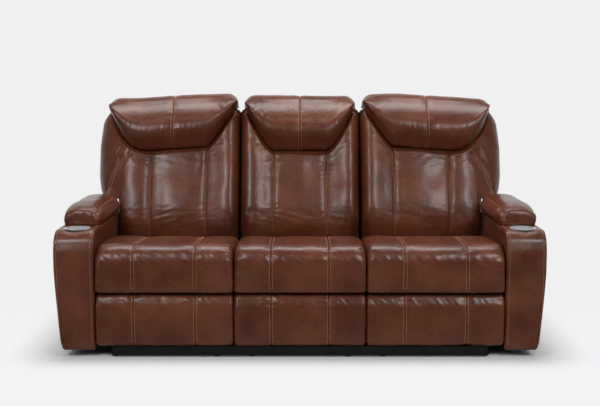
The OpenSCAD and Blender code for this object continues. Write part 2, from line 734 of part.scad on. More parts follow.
// Side panels, the outer one sloping, with the boards between them
module arm_boards(i, x0, x1) {
    arm_slab(x0, x0 + ply_t, i, arm_z0);
    difference() {
        arm_slab(x0 + ply_t, x1, i, arm_z0);
        arm_room(i + ply_t);
    }
    bar(x0 + ply_t, x1 - ply_t, arm_y0 + arm_r, arm_y1 - i, arm_z - i - ply_t, arm_z - i);
    bar(x0 + ply_t, x1 - ply_t, arm_y1 - i - ply_t, arm_y1 - i, arm_z0, arm_z - i - ply_t);
    bar(x0 + ply_t, x1 - ply_t, arm_y0 + i, arm_y0 + i + ply_t, arm_z0, arm_z - arm_r);
    bar(x0 + ply_t, x1 - ply_t, arm_y0 + i + ply_t, arm_y1 - i - ply_t, arm_z0, arm_z0 + ply_t);
}

// Plywood panels, top board and blocks inside the arm
module arm_frame(s) color(wood) on_arm(s) {
    i = arm_skin + touch;
    x0 = arm_x0 + 1 + i;
    x1 = arm_x1 - i;
    difference() {
        intersection() {
            arm_boards(i, x0, x1);
            arm_room(i);
        }
        cup_hole();
        for (y = outrigger_y) translate([arm_mid_x, y, 0]) cylinder(h = arm_z0 + ply_t + 1, r = 4.1);
        switch_hole(1, arm_w / 2);
        if (s > 0) switch_hole(2, arm_w / 2);
    }
}

module cup_holder(s) color([0.8, 0.8, 0.82]) on_arm(s)
    translate([arm_mid_x, cup_y, arm_z + touch]) rotate_extrude() {
        // Flange, wall and floor of the cup
        translate([cup_r, 0]) square([cup_flange, 2]);
        translate([cup_r, -cup_depth + 2]) square([cup_t, cup_depth - 1]);
        translate([0, -cup_depth + 2 - cup_t]) square([cup_r + cup_t, cup_t]);
    }

// Front view of the armrest pad: upright sides under a domed top, drawn in by d
function arm_pad_outline(d) =
    let (hw = arm_w / 2 - 2 - d * 0.6, z0 = arm_z + touch, side = arm_pad_h * 0.42 - d * 0.4)
    concat([[-hw + 9, z0], [hw - 9, z0], [hw, z0 + 9]],
        [for (i = [0:10]) [hw * cos(18 * i), z0 + side + (arm_pad_h * 0.58 - d * 0.6) * sin(18 * i) ^ 0.85]],
        [[-hw, z0 + 9]]);

module arm_pad(s) color(leather) on_arm(s)
    translate([arm_mid_x, front_y + arm_pad_setback, 0])
        skin([for (p = [[0, 34], [0.012, 20], [0.04, 11], [0.1, 5], [0.2, 1.5], [0.35, 0],
                        [0.6, 2], [0.85, 8], [0.95, 15], [0.985, 22], [1, 34]])
            [for (q = arm_pad_outline(p[1])) [-q[0], p[0] * arm_pad_l, q[1]]]]);

// Controls

plate_x = arm_x1;
function switch_y(i) = front_y + switch_setback + (i - 1) * (rocker_l + 16);

// The opening for one rocker, cut to a depth from the arm's outer face
module switch_hole(i, depth) {
    y = switch_y(i);
    bar(plate_x - depth, plate_x + 1, y - rocker_l / 2 - 2, y + rocker_l / 2 + 2,
        switch_z - 11, switch_z + 11);
}

module switch_plate(s) color([0.12, 0.12, 0.13]) on_arm(s) {
    n = s > 0 ? 2 : 1;
    y0 = switch_y(1) - rocker_l / 2 - 12;
    y1 = switch_y(n) + rocker_l / 2 + 12;
    difference() {
        union() {
            bar(plate_x + touch, plate_x + touch + 2, y0, y1,
                switch_z - switch_h / 2, switch_z + switch_h / 2);
            for (i = [1:n])
                bar(plate_x - 14, plate_x + touch, switch_y(i) - rocker_l / 2 - 1.8,
                    switch_y(i) + rocker_l / 2 + 1.8, switch_z - 10.8, switch_z + 10.8);
        }
        for (i = [1:n]) {
            bar(plate_x - 12, plate_x + 3, switch_y(i) - rocker_l / 2, switch_y(i) + rocker_l / 2,
                switch_z - 9, switch_z + 9);
            tube_z(plate_x - 4, switch_y(i), switch_z - 10.3, switch_z + 10.3, 1.5 + pivot_clear / 2);
        }
    }
}

module tube_z(x, y, z0, z1, r) translate([x, y, z0]) cylinder(h = z1 - z0, r = r);

// A rocker that tilts on an upright pin: front end opens, rear end closes
module rocker(s, i) color([0.2, 0.2, 0.22]) on_arm(s)
    translate([plate_x - 4, switch_y(i), 0]) {
        a = rocker_swing;
        l = rocker_l / 2 - 0.6;
        translate([0, 0, switch_z - 8.6]) linear_extrude(17.2)
            polygon([[-2.2, -l + 4], [-2.2, l - 4], [3.2 + 0, l], [5.4, l], [4.2, 0], [5.4, -l], [3.2, -l]]);
        tube_z(0, 0, switch_z - 10, switch_z + 10, 1.5 - pivot_clear / 2);
    }

module arm_bolts() color(steel)
    for (s = [-1, 1]) on_arm(s) for (y = outrigger_y)
        translate([arm_mid_x, y, 0]) {
            translate([0, 0, outrigger_z - 5]) cylinder(h = 5, r = 8, $fn = 6);
            translate([0, 0, outrigger_z]) cylinder(h = arm_z0 - outrigger_z + ply_t - 2, r = 4);
        }

// Supply box behind the middle seat with its round inlet through the skirt
module power_supply() color(black) {
    y = front_y + skirt_setback;
    difference() {
        union() {
            bar(-60, 60, base_rear_y + touch, y - touch, base_z + base_rail[1] + 4, 115);
            tube_y(0, y - touch, y + skirt_t + 2, 90, 8.5);
        }
        tube_y(0, y + skirt_t - 9, y + skirt_t + 3, 90, inlet_r);
    }
}

for (k = [0:2]) {
    s = k - 1;
    suffix = ["_left", "_middle", "_right"][k];
    base_frame(s);
    seat_plates(s);
    seat_frame(s);
    seat_cushion(s);
    drive_link(s);
    carry_link(s);
    footrest_board(s);
    footrest_pad(s);
    motor(s);
    drive_carriage(s);
    back_frame(s);
    back_cover(s);
    back_cushion(s);
    headrest(s);
}
feet();
rear_skirt();
arm_frame(-1);  // arm_frame_left
arm_frame(1);  // arm_frame_right
arm_cover(-1);  // arm_cover_left
arm_cover(1);  // arm_cover_right
arm_pad(-1);  // arm_pad_left
arm_pad(1);  // arm_pad_right
cup_holder(-1);  // cup_holder_left
cup_holder(1);  // cup_holder_right
switch_plate(-1);  // switch_plate_left
switch_plate(1);  // switch_plate_right
rocker(-1, 1);  // rocker_left
rocker(1, 2);  // rocker_middle
rocker(1, 1);  // rocker_right
arm_bolts();
power_supply();
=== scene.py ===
"""Dresses the power reclining sofa: leather, stitching, metal, wood, floor, light and camera.

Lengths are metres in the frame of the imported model: x across, y to the rear, z up.
"""

import json
import math

import bmesh
import bpy
import numpy as np
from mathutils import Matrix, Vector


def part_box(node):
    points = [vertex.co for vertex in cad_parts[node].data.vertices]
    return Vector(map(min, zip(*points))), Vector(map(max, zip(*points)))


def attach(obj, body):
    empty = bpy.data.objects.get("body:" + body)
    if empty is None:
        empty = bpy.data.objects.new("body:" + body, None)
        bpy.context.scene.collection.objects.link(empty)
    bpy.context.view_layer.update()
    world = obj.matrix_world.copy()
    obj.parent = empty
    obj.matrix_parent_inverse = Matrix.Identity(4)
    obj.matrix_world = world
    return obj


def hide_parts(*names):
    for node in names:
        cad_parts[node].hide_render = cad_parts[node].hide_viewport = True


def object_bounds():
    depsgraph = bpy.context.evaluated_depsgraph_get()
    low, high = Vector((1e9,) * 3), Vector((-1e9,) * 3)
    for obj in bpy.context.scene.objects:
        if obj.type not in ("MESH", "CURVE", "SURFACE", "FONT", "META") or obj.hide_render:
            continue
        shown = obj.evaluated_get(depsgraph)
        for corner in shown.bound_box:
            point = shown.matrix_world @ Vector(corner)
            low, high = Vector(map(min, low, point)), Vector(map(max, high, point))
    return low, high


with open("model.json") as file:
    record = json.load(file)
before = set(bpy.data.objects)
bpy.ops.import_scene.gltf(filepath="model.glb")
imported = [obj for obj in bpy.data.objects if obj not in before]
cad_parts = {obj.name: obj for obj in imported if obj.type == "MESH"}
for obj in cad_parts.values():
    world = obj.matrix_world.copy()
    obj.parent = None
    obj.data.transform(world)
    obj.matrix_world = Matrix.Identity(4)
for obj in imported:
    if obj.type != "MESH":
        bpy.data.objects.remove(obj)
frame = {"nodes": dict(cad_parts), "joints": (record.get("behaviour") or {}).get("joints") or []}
cad_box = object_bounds()

# Driving sizes that the frame doesn't give. On a back, u runs up along it from the hinge and v to its
# rear. Where a size has two entries, 0 is the middle seat and 1 an end seat, and a pair of values holds
# the side towards the sofa's middle, then the outer side.

# Seats and footrests
CHANNEL = {0: 0.118, 1: 0.126}  # sewn channels, from the seat's centre

# Backs
LEAN = math.radians(13)  # rearward lean at rest
BACK_LEN = 0.655  # upper end of a back, u
BACK_LOW = 0.032  # lower end of the cushion, u
BACK_CHANNEL = {0: 0.122, 1: 0.128}  # sewn channels, from the middle panel's centre
BACK_CENTRE = {0: 0.0, 1: 0.010}  # that centre, from the seat's centre
SIDE_SWELL = 0.0013  # how far the sides stand out past the plain solid
STEP_UNDER = 0.010  # step under the headrest, below the headrest's lower edge
STEP_V = 0.076  # depth of the cushion behind the headrest
RISE_U = 0.30  # where the cushion's rings begin to fan out to the step
RISE = 0.29  # nominal length of the fan

# Wings of the end backs
WING_W = 0.098  # width past the back's side
WING_FULL = 0.012  # swelling of that width
WING_DROP = 0.030  # sag of the lower edge
WING_U = 0.226  # lower edge, u
WING_ROUND = 0.050  # round of the lower corner
SEAM_X = (0.366, 0.306, 0.226)  # knots of the seam from the wing's lower corner to the headrest's
SEAM_U = (0.225, 0.330, 0.432)
SEAM_SLANT = 0.72  # distance across the seam over the level gap to it

# Rear leather of the backs
REAR_V = 0.089  # rear face, v
REAR_LOW = -0.090  # lower end, u
REAR_SEAM = 0.14  # upright seams, from the seat's centre

# Headrests
HEAD_LOW_U = 0.437  # lower edge at its level part, u
HEAD_TOP_U = 0.710  # upper edge, u
HEAD_REAR_V = -0.077  # face against the cushion, v
HEAD_FRONT_V = -0.164  # foremost part, v
HEAD_SHIFT = {0: 0.0, 1: 0.036}  # centre, from the seat's centre
HEAD_HALF = {0: 0.258, 1: 0.298}  # half width
HEAD_FLAT = {0: (0.115, 0.115), 1: (0.143, 0.122)}  # half width of the level part
HEAD_RISE = {0: (1.50, 1.50), 1: (1.20, 2.4)}  # power with which the lower edge rises to the end
HEAD_BEND = {0: (0.04, 0.04), 1: (0.12, 0.03)}  # softness of the bend into that rise
HEAD_END_U = {0: (0.637, 0.637), 1: (0.645, 0.628)}  # lower edge at the end, u
HEAD_TILT = 0.017  # lift of the level part towards the sofa's middle on an end seat

# Arms
ARM_TAPER = 0.024  # inward taper of the outer side at the foot
ARM_TAPER_Z = 0.366  # height at which it begins
ARM_FOOT_TAPER = 0.005  # tuck of the lowest edge
ARM_ROUND = 0.062  # round of the front's upper edge
ARM_SEAM = 0.0135  # seams of the strip, from its edges
WELL_R = 0.0495  # columns within this radius of the cup go down into its well
WELL_WALL_R = 0.0466  # radius of the well
WELL_DEEP = 0.086  # depth of the well
RIM_R = 0.0500  # columns between the well and RIM_OUT_R keep this distance
RIM_OUT_R = 0.0560

# Stitches
ROW = 0.006  # half the gap between two rows
STITCH = 0.0055  # length
STITCH_PITCH = 0.0078
THREAD_R = 0.00115  # radius of the thread

# Floor
FLOOR_R = 9.0  # radius of the level part
WALL_BEND = 3.0  # radius of the bend up into the wall
WALL_TOP = 14.0
SHADOW_IN = 0.09  # edge of the shadow, in from the sofa's box
SHADOW_REACH = 0.34  # width over which the shadow gives way to plain light

# Camera
CAMERA_AWAY = 4.0  # in front of the seats
CAMERA_Z = 1.161
CAMERA_TILT = 7.41  # degrees down
LENS = 60.48  # focal length in mm for a 36 mm picture

SEATS = {"left": -1, "middle": 0, "right": 1}
front_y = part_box("seat_cushion_middle")[0].y
joints = {j["name"]: j for j in frame["joints"]}
hinge_y, hinge_z = joints["recline_middle"]["pos_m"][1:]


def across(node):
    """Centre and half width of a node across the sofa."""
    lo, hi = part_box(node)
    return (lo.x + hi.x) / 2, (hi.x - lo.x) / 2


seat_x = {s: across("seat_cushion_" + name)[0] for name, s in SEATS.items()}

# Number tools

# Points on each rounded corner of an outline
ARC_POINTS = 14


def smooth(a, b, x):
    """0 before a, 1 after b, and 3t^2 - 2t^3 between them."""
    t = np.clip((x - a) / (b - a), 0, 1)
    return t * t * (3 - 2 * t)


def bell(x, width):
    """e to the minus (x over width) squared."""
    return np.exp(-(x / width) ** 2)


def noise(seed, *axes):
    """Random values on a unit lattice, from -1 to 1, blended across each cell by 3t^2 - 2t^3."""
    table = np.random.default_rng(seed).uniform(-1, 1, (24, 24, 24))
    p = np.stack(np.broadcast_arrays(*axes, *[0.0] * (3 - len(axes))), -1)
    cell = np.floor(p).astype(int)
    t = p - cell
    t = t * t * (3 - 2 * t)
    total = 0
    for corner in np.ndindex(2, 2, 2):
        weight = np.prod(np.where(corner, t, 1 - t), -1)
        total = total + weight * table[tuple(np.moveaxis((cell + corner) % 24, -1, 0))]
    return total


def crease(seed, *axes):
    """Sharp valleys where the noise crosses 0: minus (1 - |noise|) to the sixth."""
    return -(1 - np.abs(noise(seed, *axes))) ** 6


def curve(x, knots, values):
    """Smooth line through a few points: cubic pieces whose slope at a knot comes from its neighbours."""
    knots, values = np.asarray(knots, float), np.asarray(values, float)
    slope = np.gradient(values, knots)
    x = np.clip(x, knots[0], knots[-1])
    i = np.clip(np.searchsorted(knots, x) - 1, 0, len(knots) - 2)
    h = knots[i + 1] - knots[i]
    t = (x - knots[i]) / h
    return ((2 * t ** 3 - 3 * t ** 2 + 1) * values[i] + (t ** 3 - 2 * t ** 2 + t) * h * slope[i]
            + (3 * t ** 2 - 2 * t ** 3) * values[i + 1] + (t ** 3 - t ** 2) * h * slope[i + 1])


def spread(lo, hi, count, spots=(), gain=3.0, reach=0.02):
    """Places from lo to hi, closer together near the spots: equal steps of the summed density."""
    x = np.linspace(lo, hi, 2000)
    density = 1 + gain * sum(bell(x - s, reach) for s in spots)
    total = np.cumsum(density) - density[0]
    return np.interp(np.linspace(0, total[-1], count), total, x)


def outline(corners, count):
    """Closed outline through rounded corners, for all stations at once.

    A corner is (a, b, radius, share). It becomes an arc, written as a rational quadratic curve
    whose middle weight is the cosine of half its turn. Then count points are spaced by length
    times share, where share counts for the stretch that follows the corner.
    """
    shape = np.broadcast_shapes((1,), *[np.shape(value) for corner in corners for value in corner])
    c = np.stack([np.stack([np.broadcast_to(value, shape) for value in corner], -1)
                  for corner in corners], -2)
    here, before, after = c[..., :2], np.roll(c, 1, -2)[..., :2], np.roll(c, -1, -2)[..., :2]
    e1, e2 = before - here, after - here
    l1 = np.linalg.norm(e1, axis=-1, keepdims=True) + 1e-9
    l2 = np.linalg.norm(e2, axis=-1, keepdims=True) + 1e-9
    turn = np.arccos(np.clip(-np.sum(e1 * e2, -1, keepdims=True) / (l1 * l2), -1, 1))
    cut = np.minimum(c[..., 2:3] * np.tan(turn / 2), 0.48 * np.minimum(l1, l2))
    p0, p2 = here + e1 / l1 * cut, here + e2 / l2 * cut
    w = np.cos(turn / 2)[..., None, :]
    t = np.linspace(0, 1, ARC_POINTS)[:, None]
    arc = (((1 - t) ** 2 * p0[..., None, :] + 2 * w * t * (1 - t) * here[..., None, :]
            + t ** 2 * p2[..., None, :]) / ((1 - t) ** 2 + 2 * w * t * (1 - t) + t ** 2))
    line = arc.reshape(len(c), -1, 2)
    line = np.concatenate([line, line[:, :1]], 1)
    share = np.repeat(c[..., 3], ARC_POINTS, axis=1)
    step = np.linalg.norm(np.diff(line, axis=1), axis=-1) * share + 1e-9
    s = np.concatenate([np.zeros((len(c), 1)), np.cumsum(step, 1)], 1)
    s /= s[:, -1:]
    row = 2.0 * np.arange(len(c))[:, None]
    want = (np.arange(count) / count + row).ravel()
    return np.stack([np.interp(want, (s + row).ravel(), line[..., k].ravel())
                     .reshape(len(c), count) for k in (0, 1)], -1)


# Mesh tools


def link(name, data):
    """A new object in the scene."""
    obj = bpy.data.objects.new(name, data)
    bpy.context.scene.collection.objects.link(obj)
    return obj


def tube(name, p, *ends):
    """Mesh over points p[row, ring, xyz]: quads between neighbouring rings, and a face on each end named."""
    rows, ring = p.shape[:2]
    i, j = np.meshgrid(np.arange(rows - 1), np.arange(ring), indexing="ij")
    k = (j + 1) % ring
    quads = np.stack([i * ring + j, (i + 1) * ring + j, (i + 1) * ring + k, i * ring + k], -1)
    mesh = bpy.data.meshes.new(name)
    mesh.from_pydata(p.reshape(-1, 3), [], [list(range(e * ring, e * ring + ring)) for e in ends]
                     + quads.reshape(-1, 4).tolist())
    mesh.shade_smooth()
    return mesh


def skin(name, p):
    """Closed object over rings of points, with its faces turned outwards."""
    mesh = tube(name, p, 0, len(p) - 1)
    face_out(mesh)
    return link(name, mesh)


def face_out(mesh):
    """Turns all faces outwards."""
    bm = bmesh.new()
    bm.from_mesh(mesh)
    bmesh.ops.recalc_face_normals(bm, faces=bm.faces)
    bm.to_mesh(mesh)
    bm.free()


def places(obj):
    """Vertex places and normals as arrays of rows."""
    mesh = obj.data
    co, no = np.empty(len(mesh.vertices) * 3), np.empty(len(mesh.vertices) * 3)
    mesh.vertices.foreach_get("co", co)
    mesh.vertex_normals.foreach_get("vector", no)
    return co.reshape(-1, 3), no.reshape(-1, 3)


def put(obj, co):
    """Vertex places back into the mesh."""
    obj.data.vertices.foreach_set("co", co.ravel())
    obj.data.update()


def swell(obj, height):
    """Moves each vertex along its normal by height(place, normal)."""
    co, no = places(obj)
    put(obj, co + no * height(co, no)[:, None])


def on_skin(target, points, lift):
    """The points moved to the nearest place on the target, and lift above it."""
    probe = link("probe", bpy.data.meshes.new("probe"))
    probe.data.from_pydata(points, [], [])
    shrink = probe.modifiers.new("wrap", "SHRINKWRAP")
    shrink.target, shrink.wrap_mode, shrink.offset = target, "ABOVE_SURFACE", lift
    posed = probe.evaluated_get(bpy.context.evaluated_depsgraph_get()).data
    co = np.empty(len(points) * 3)
    posed.vertices.foreach_get("co", co)
    bpy.data.objects.remove(probe)
    return co.reshape(-1, 3)


def along(path, pitch):
    """Points on a path at equal distances."""
    step = np.linalg.norm(np.diff(path, axis=0), axis=1)
    s = np.concatenate([[0], np.cumsum(step)])
    want = np.arange(pitch / 2, s[-1], pitch)
    return np.stack([np.interp(want, s, path[:, k]) for k in range(3)], -1)


def unit(v):
    """Each row over its length."""
    return v / (np.linalg.norm(v, axis=-1, keepdims=True) + 1e-12)


def stitch():
    """One stitch: three rings of six points along x, thick in the middle, and a pole at each end."""
    turn = np.arange(6) * math.pi / 3
    circle = np.column_stack([0 * turn, THREAD_R * np.cos(turn), THREAD_R * np.sin(turn)])
    rings = [r * circle + (x * STITCH / 2, 0, 0) for x, r in ((-0.8, 0.75), (0.0, 1.15), (0.8, 0.75))]
    poles = [[(x * STITCH / 2, 0, -THREAD_R * 0.6)] for x in (-1, 1)]
    faces = ([[0, 1 + (k + 1) % 6, 1 + k] for k in range(6)]
             + [[1 + 6 * r + k, 1 + 6 * r + (k + 1) % 6, 7 + 6 * r + (k + 1) % 6, 7 + 6 * r + k]
                for r in range(2) for k in range(6)]
             + [[19, 13 + k, 13 + (k + 1) % 6] for k in range(6)])
    return np.concatenate([poles[0], *rings, poles[1]]), faces


def stitching(name, target, paths, body):
    """Stitches along each path, laid on the target's skin at equal distances and turned with it."""
    spots, sides, ups = [], [], []
    for path in paths:
        path = on_skin(target, np.asarray(path, float), 0)
        c = on_skin(target, along(path, STITCH_PITCH), 0)
        up = unit(on_skin(target, c, 0.004) - c)
        spots.append(c)
        sides.append(unit(np.gradient(c, axis=0)))
        ups.append(up)
    c, t, up = (np.concatenate(v) for v in (spots, sides, ups))
    b = unit(np.cross(up, t))
    up = np.cross(t, b)
    p, stitch_faces = stitch()
    co = (c[:, None] + p[None, :, :1] * t[:, None] + p[None, :, 1:2] * b[:, None]
          + (p[None, :, 2:] + THREAD_R * 0.35) * up[:, None])
    n = len(p)
    faces = [[v + n * i for v in f] for i in range(len(c)) for f in stitch_faces]
    mesh = bpy.data.meshes.new(name)
    mesh.from_pydata(co.reshape(-1, 3), [], faces)
    mesh.shade_smooth()
    obj = link(name, mesh)
    obj.data.materials.append(thread)
    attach(obj, body)


def upholster(obj, body, fill, *nodes):
    """Leather for a finished padded piece, which stands for its nodes and rides on a body."""
    obj.data.materials.append(leather)
    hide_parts(*nodes)
    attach(obj, body)


# Materials


class Paint:
    """A material's nodes, added and joined by short calls, where a node stands for its first output."""

    def __init__(self, name):
        self.mat = bpy.data.materials.new(name)
        self.mat.use_nodes = True
        self.tree = self.mat.node_tree
        self.shader = self.tree.nodes["Principled BSDF"]

    def node(self, kind, values=(), **inputs):
        """A node with its settings, then its inputs by name."""
        n = self.tree.nodes.new("ShaderNode" + kind)
        for key, value in dict(values).items():
            setattr(n, key, value)
        for key, value in inputs.items():
            self.set(n.inputs[key.replace("_", " ")], value)
        return n

    def set(self, socket, value):
        """Joins a socket or node to the socket, or writes the number there."""
        if isinstance(value, bpy.types.NodeSocket):
            self.tree.links.new(value, socket)
        elif isinstance(value, bpy.types.Node):
            self.tree.links.new(value.outputs[0], socket)
        else:
            socket.default_value = value

    def shade(self, **inputs):
        """The shader's own inputs by name."""
        for key, value in inputs.items():
            self.set(self.shader.inputs[key.replace("_", " ")], value)

    def place(self, scale=(1, 1, 1)):
        """The point's place on the object, stretched."""
        where = self.node("TexCoord").outputs["Object"]
        return self.node("Mapping", Vector=where, Scale=scale)

    def noise(self, place, scale, detail=3.0, rough=0.5):
        """Cloud noise over the places."""
        return self.node("TexNoise", Vector=place, Scale=scale, Detail=detail, Roughness=rough)

    def ramp(self, fac, *stops):
        """Colours or greys by value: (position, colour) pairs."""
        n = self.node("ValToRGB", Fac=fac)
        items = n.color_ramp.elements
        while len(items) < len(stops):
            items.new(0.5)
        for item, (at, colour) in zip(items, stops):
            item.position = at
            item.color = (*colour, 1) if isinstance(colour, tuple) else (colour,) * 3 + (1,)
        return n

    def darken(self, fac, a, b):
        """Colour a times colour b, by a share."""
        n = self.node("Mix", {"data_type": "RGBA", "blend_type": "MULTIPLY"})
        self.set(n.inputs[0], fac)
        self.set(n.inputs[6], a)
        self.set(n.inputs[7], b)
        return n.outputs[2]

    def math(self, operation, a, b, kind="Math"):
        """Two values, or places with kind VectorMath, joined by an operation."""
        n = self.node(kind, {"operation": operation})
        self.set(n.inputs[0], a)
        self.set(n.inputs[1], b)
        return n

    def bump(self, height, strength, distance, under=None):
        """Normals tilted by a height, over those of another bump."""
        n = self.node("Bump", Height=height, Strength=strength, Distance=distance)
        if under:
            self.set(n.inputs["Normal"], under)
        return n


def leather_paint():
    """Glossy mottled cowhide: cloudy tone times the grain's dark furrows, with pores and fine wrinkles."""
    m = Paint("chestnut leather")
    here = m.place()
    clouds = m.noise(here, 7.0, 3.0, 0.5)
    spots = m.noise(here, 34.0, 2.0, 0.45)
    cells = m.node("TexVoronoi", {"feature": "DISTANCE_TO_EDGE"}, Vector=here, Scale=520.0)
    warp = m.node("Mix", {"data_type": "VECTOR"})
    m.set(warp.inputs[0], 0.012)
    m.set(warp.inputs[4], here)
    m.set(warp.inputs[5], m.noise(here, 40.0).outputs["Color"])
    lines = m.node("TexVoronoi", {"feature": "DISTANCE_TO_EDGE"}, Vector=warp.outputs[1], Scale=95.0)
    tone = m.ramp(clouds, (0.30, (0.082, 0.020, 0.0075)), (0.5, (0.112, 0.030, 0.0115)),
                  (0.72, (0.148, 0.045, 0.018)))
    patch = m.ramp(spots, (0.30, (0.88, 0.84, 0.82)), (0.70, 1.0))
    furrow = m.ramp(cells, (0.0, 0.72), (0.12, 1.0))
    colour = m.darken(0.55, tone, patch)
    colour = m.darken(0.6, colour, furrow)
    gloss = m.ramp(spots, (0.3, 0.27), (0.7, 0.36))
    grain = m.ramp(cells, (0.0, 0.0), (0.22, 1.0))
    wrinkle = m.ramp(lines, (0.0, 0.0), (0.08, 1.0))
    fine = m.bump(grain, 0.25, 0.0003)
    fine = m.bump(wrinkle, 0.22, 0.0005, fine)
    fine = m.bump(m.noise(here, 48.0, 2.0), 0.42, 0.0022, fine)
    m.shade(Base_Color=colour, Roughness=gloss, Normal=fine, Specular_IOR_Level=0.36,
            Coat_Weight=0.22, Coat_Roughness=0.22)
    return m.mat


def thread_paint():
    """Tan polyester thread with a twist."""
    m = Paint("tan thread")
    twist = m.node("TexWave", {"bands_direction": "DIAGONAL"}, Vector=m.place(), Scale=260.0, Distortion=1.0)
    tone = m.ramp(twist, (0.0, (0.30, 0.130, 0.065)), (1.0, (0.46, 0.23, 0.125)))
    m.shade(Base_Color=tone, Roughness=0.6, Normal=m.bump(twist, 0.4, 0.0003))
    return m.mat


def hard_paint(name, colour, dark, rough, brushed=(1, 1, 1), metallic=1.0, speck=0.1, shine=0.5):
    """Metal, coating or plastic with drawn lines or an orange-peel skin, and a little wear in its tone."""
    m = Paint(name)
    grain = m.noise(m.place(brushed), 420.0, 3.0, 0.6)
    clouds = m.noise(m.place(), 9.0, 3.0)
    tone = m.ramp(clouds, (0.3, dark), (0.7, colour))
    rough_map = m.ramp(grain, (0.3, rough - speck), (0.7, rough + speck))
    m.shade(Base_Color=tone, Roughness=rough_map, Metallic=metallic,
            Normal=m.bump(grain, 0.15, 0.0003), Specular_IOR_Level=shine)
    return m.mat


def plywood_paint():
    """Unfinished plywood: long grain lines in a pale brown."""
    m = Paint("plywood")
    grain = m.noise(m.place((2.0, 16.0, 30.0)), 6.0, 5.0, 0.62)
    pores = m.noise(m.place((30.0, 220.0, 220.0)), 3.0, 2.0)
    tone = m.ramp(grain, (0.3, (0.42, 0.27, 0.14)), (0.55, (0.60, 0.43, 0.25)),
                  (0.75, (0.66, 0.50, 0.31)))
    m.shade(Base_Color=tone, Roughness=0.7, Normal=m.bump(pores, 0.3, 0.0004))
    return m.mat


leather = leather_paint()
thread = thread_paint()
slot_finish = {
    "brown_leather": leather,
    "plywood": plywood_paint(),
    "steel_black": hard_paint("black powder coat", 0.008, 0.005, 0.55, metallic=0.0, shine=0.2),
    "steel_zinc": hard_paint("zinc plated steel", (0.60, 0.60, 0.62), (0.42, 0.43, 0.45), 0.36),
    "cup_steel": hard_paint("brushed stainless", (0.84, 0.84, 0.85), (0.74, 0.74, 0.75), 0.40,
                            brushed=(1, 1, 0.05), metallic=0.85, speck=0.06),
    "black_plastic": hard_paint("black plastic", (0.030, 0.030, 0.031), (0.024, 0.024, 0.025), 0.45,
                                metallic=0.0),
    "grey_plastic": hard_paint("grey plastic", (0.10, 0.10, 0.105), (0.08, 0.08, 0.085), 0.40, metallic=0.0),
    "foot_plastic": hard_paint("foot plastic", 0.025, 0.02, 0.5, metallic=0.0)}
for node in frame["nodes"].values():
    for mat_slot in node.material_slots:
        for word, finish in slot_finish.items():
            if mat_slot.material and word in mat_slot.material.name:
                mat_slot.material = finish

# Seats and footrests


def end_inset(edge, radius):
    """How far the section draws in near an end: a quarter circle over the last radius of its length."""
    t = np.clip(1 - edge / radius, 0, 1)
    return radius * (1 - np.sqrt(1 - t ** 2))


def across_sofa(x, ring):
    """Points of the side views ring[station, point, (y, z)], each at its own place x."""
    return np.stack([np.broadcast_to(x[:, None], ring.shape[:2]), ring[..., 0], ring[..., 1]], -1)


def channel_dip(x, channel):
    """A sewn channel: the panel draws in to two stitch rows, with a narrow crease between them."""
    d = np.abs(np.abs(x) - channel)
    return -0.0026 * bell(d, 0.015) - 0.0030 * bell(d, 0.0026) + 0.0008 * bell(d - 0.030, 0.016)


def gathers(seed, d, run):
    """Puckers beside a seam: uneven waves along its run that die out with the distance d."""
    wave = noise(seed, run / 0.011, d / 0.05) + 0.6 * noise(seed + 1, run / 0.021, d / 0.06)
    return 0.0011 * wave * bell(np.abs(d) - 0.010, 0.03)


def double_rows(line, cx, channel):
    """Two rows of stitches beside each of the two channels: the side view's line at four places across."""
    return [np.column_stack([np.full(len(line), cx + x0 + off), line])
            for x0 in (-channel, channel) for off in (-ROW, ROW)]


def from_lowest(line, slant):
    """The closed line turned so that it starts at its lowest front point, by height + slant times depth."""
    return np.roll(line, -np.argmin(line[:, 1] + slant * line[:, 0]), axis=0)


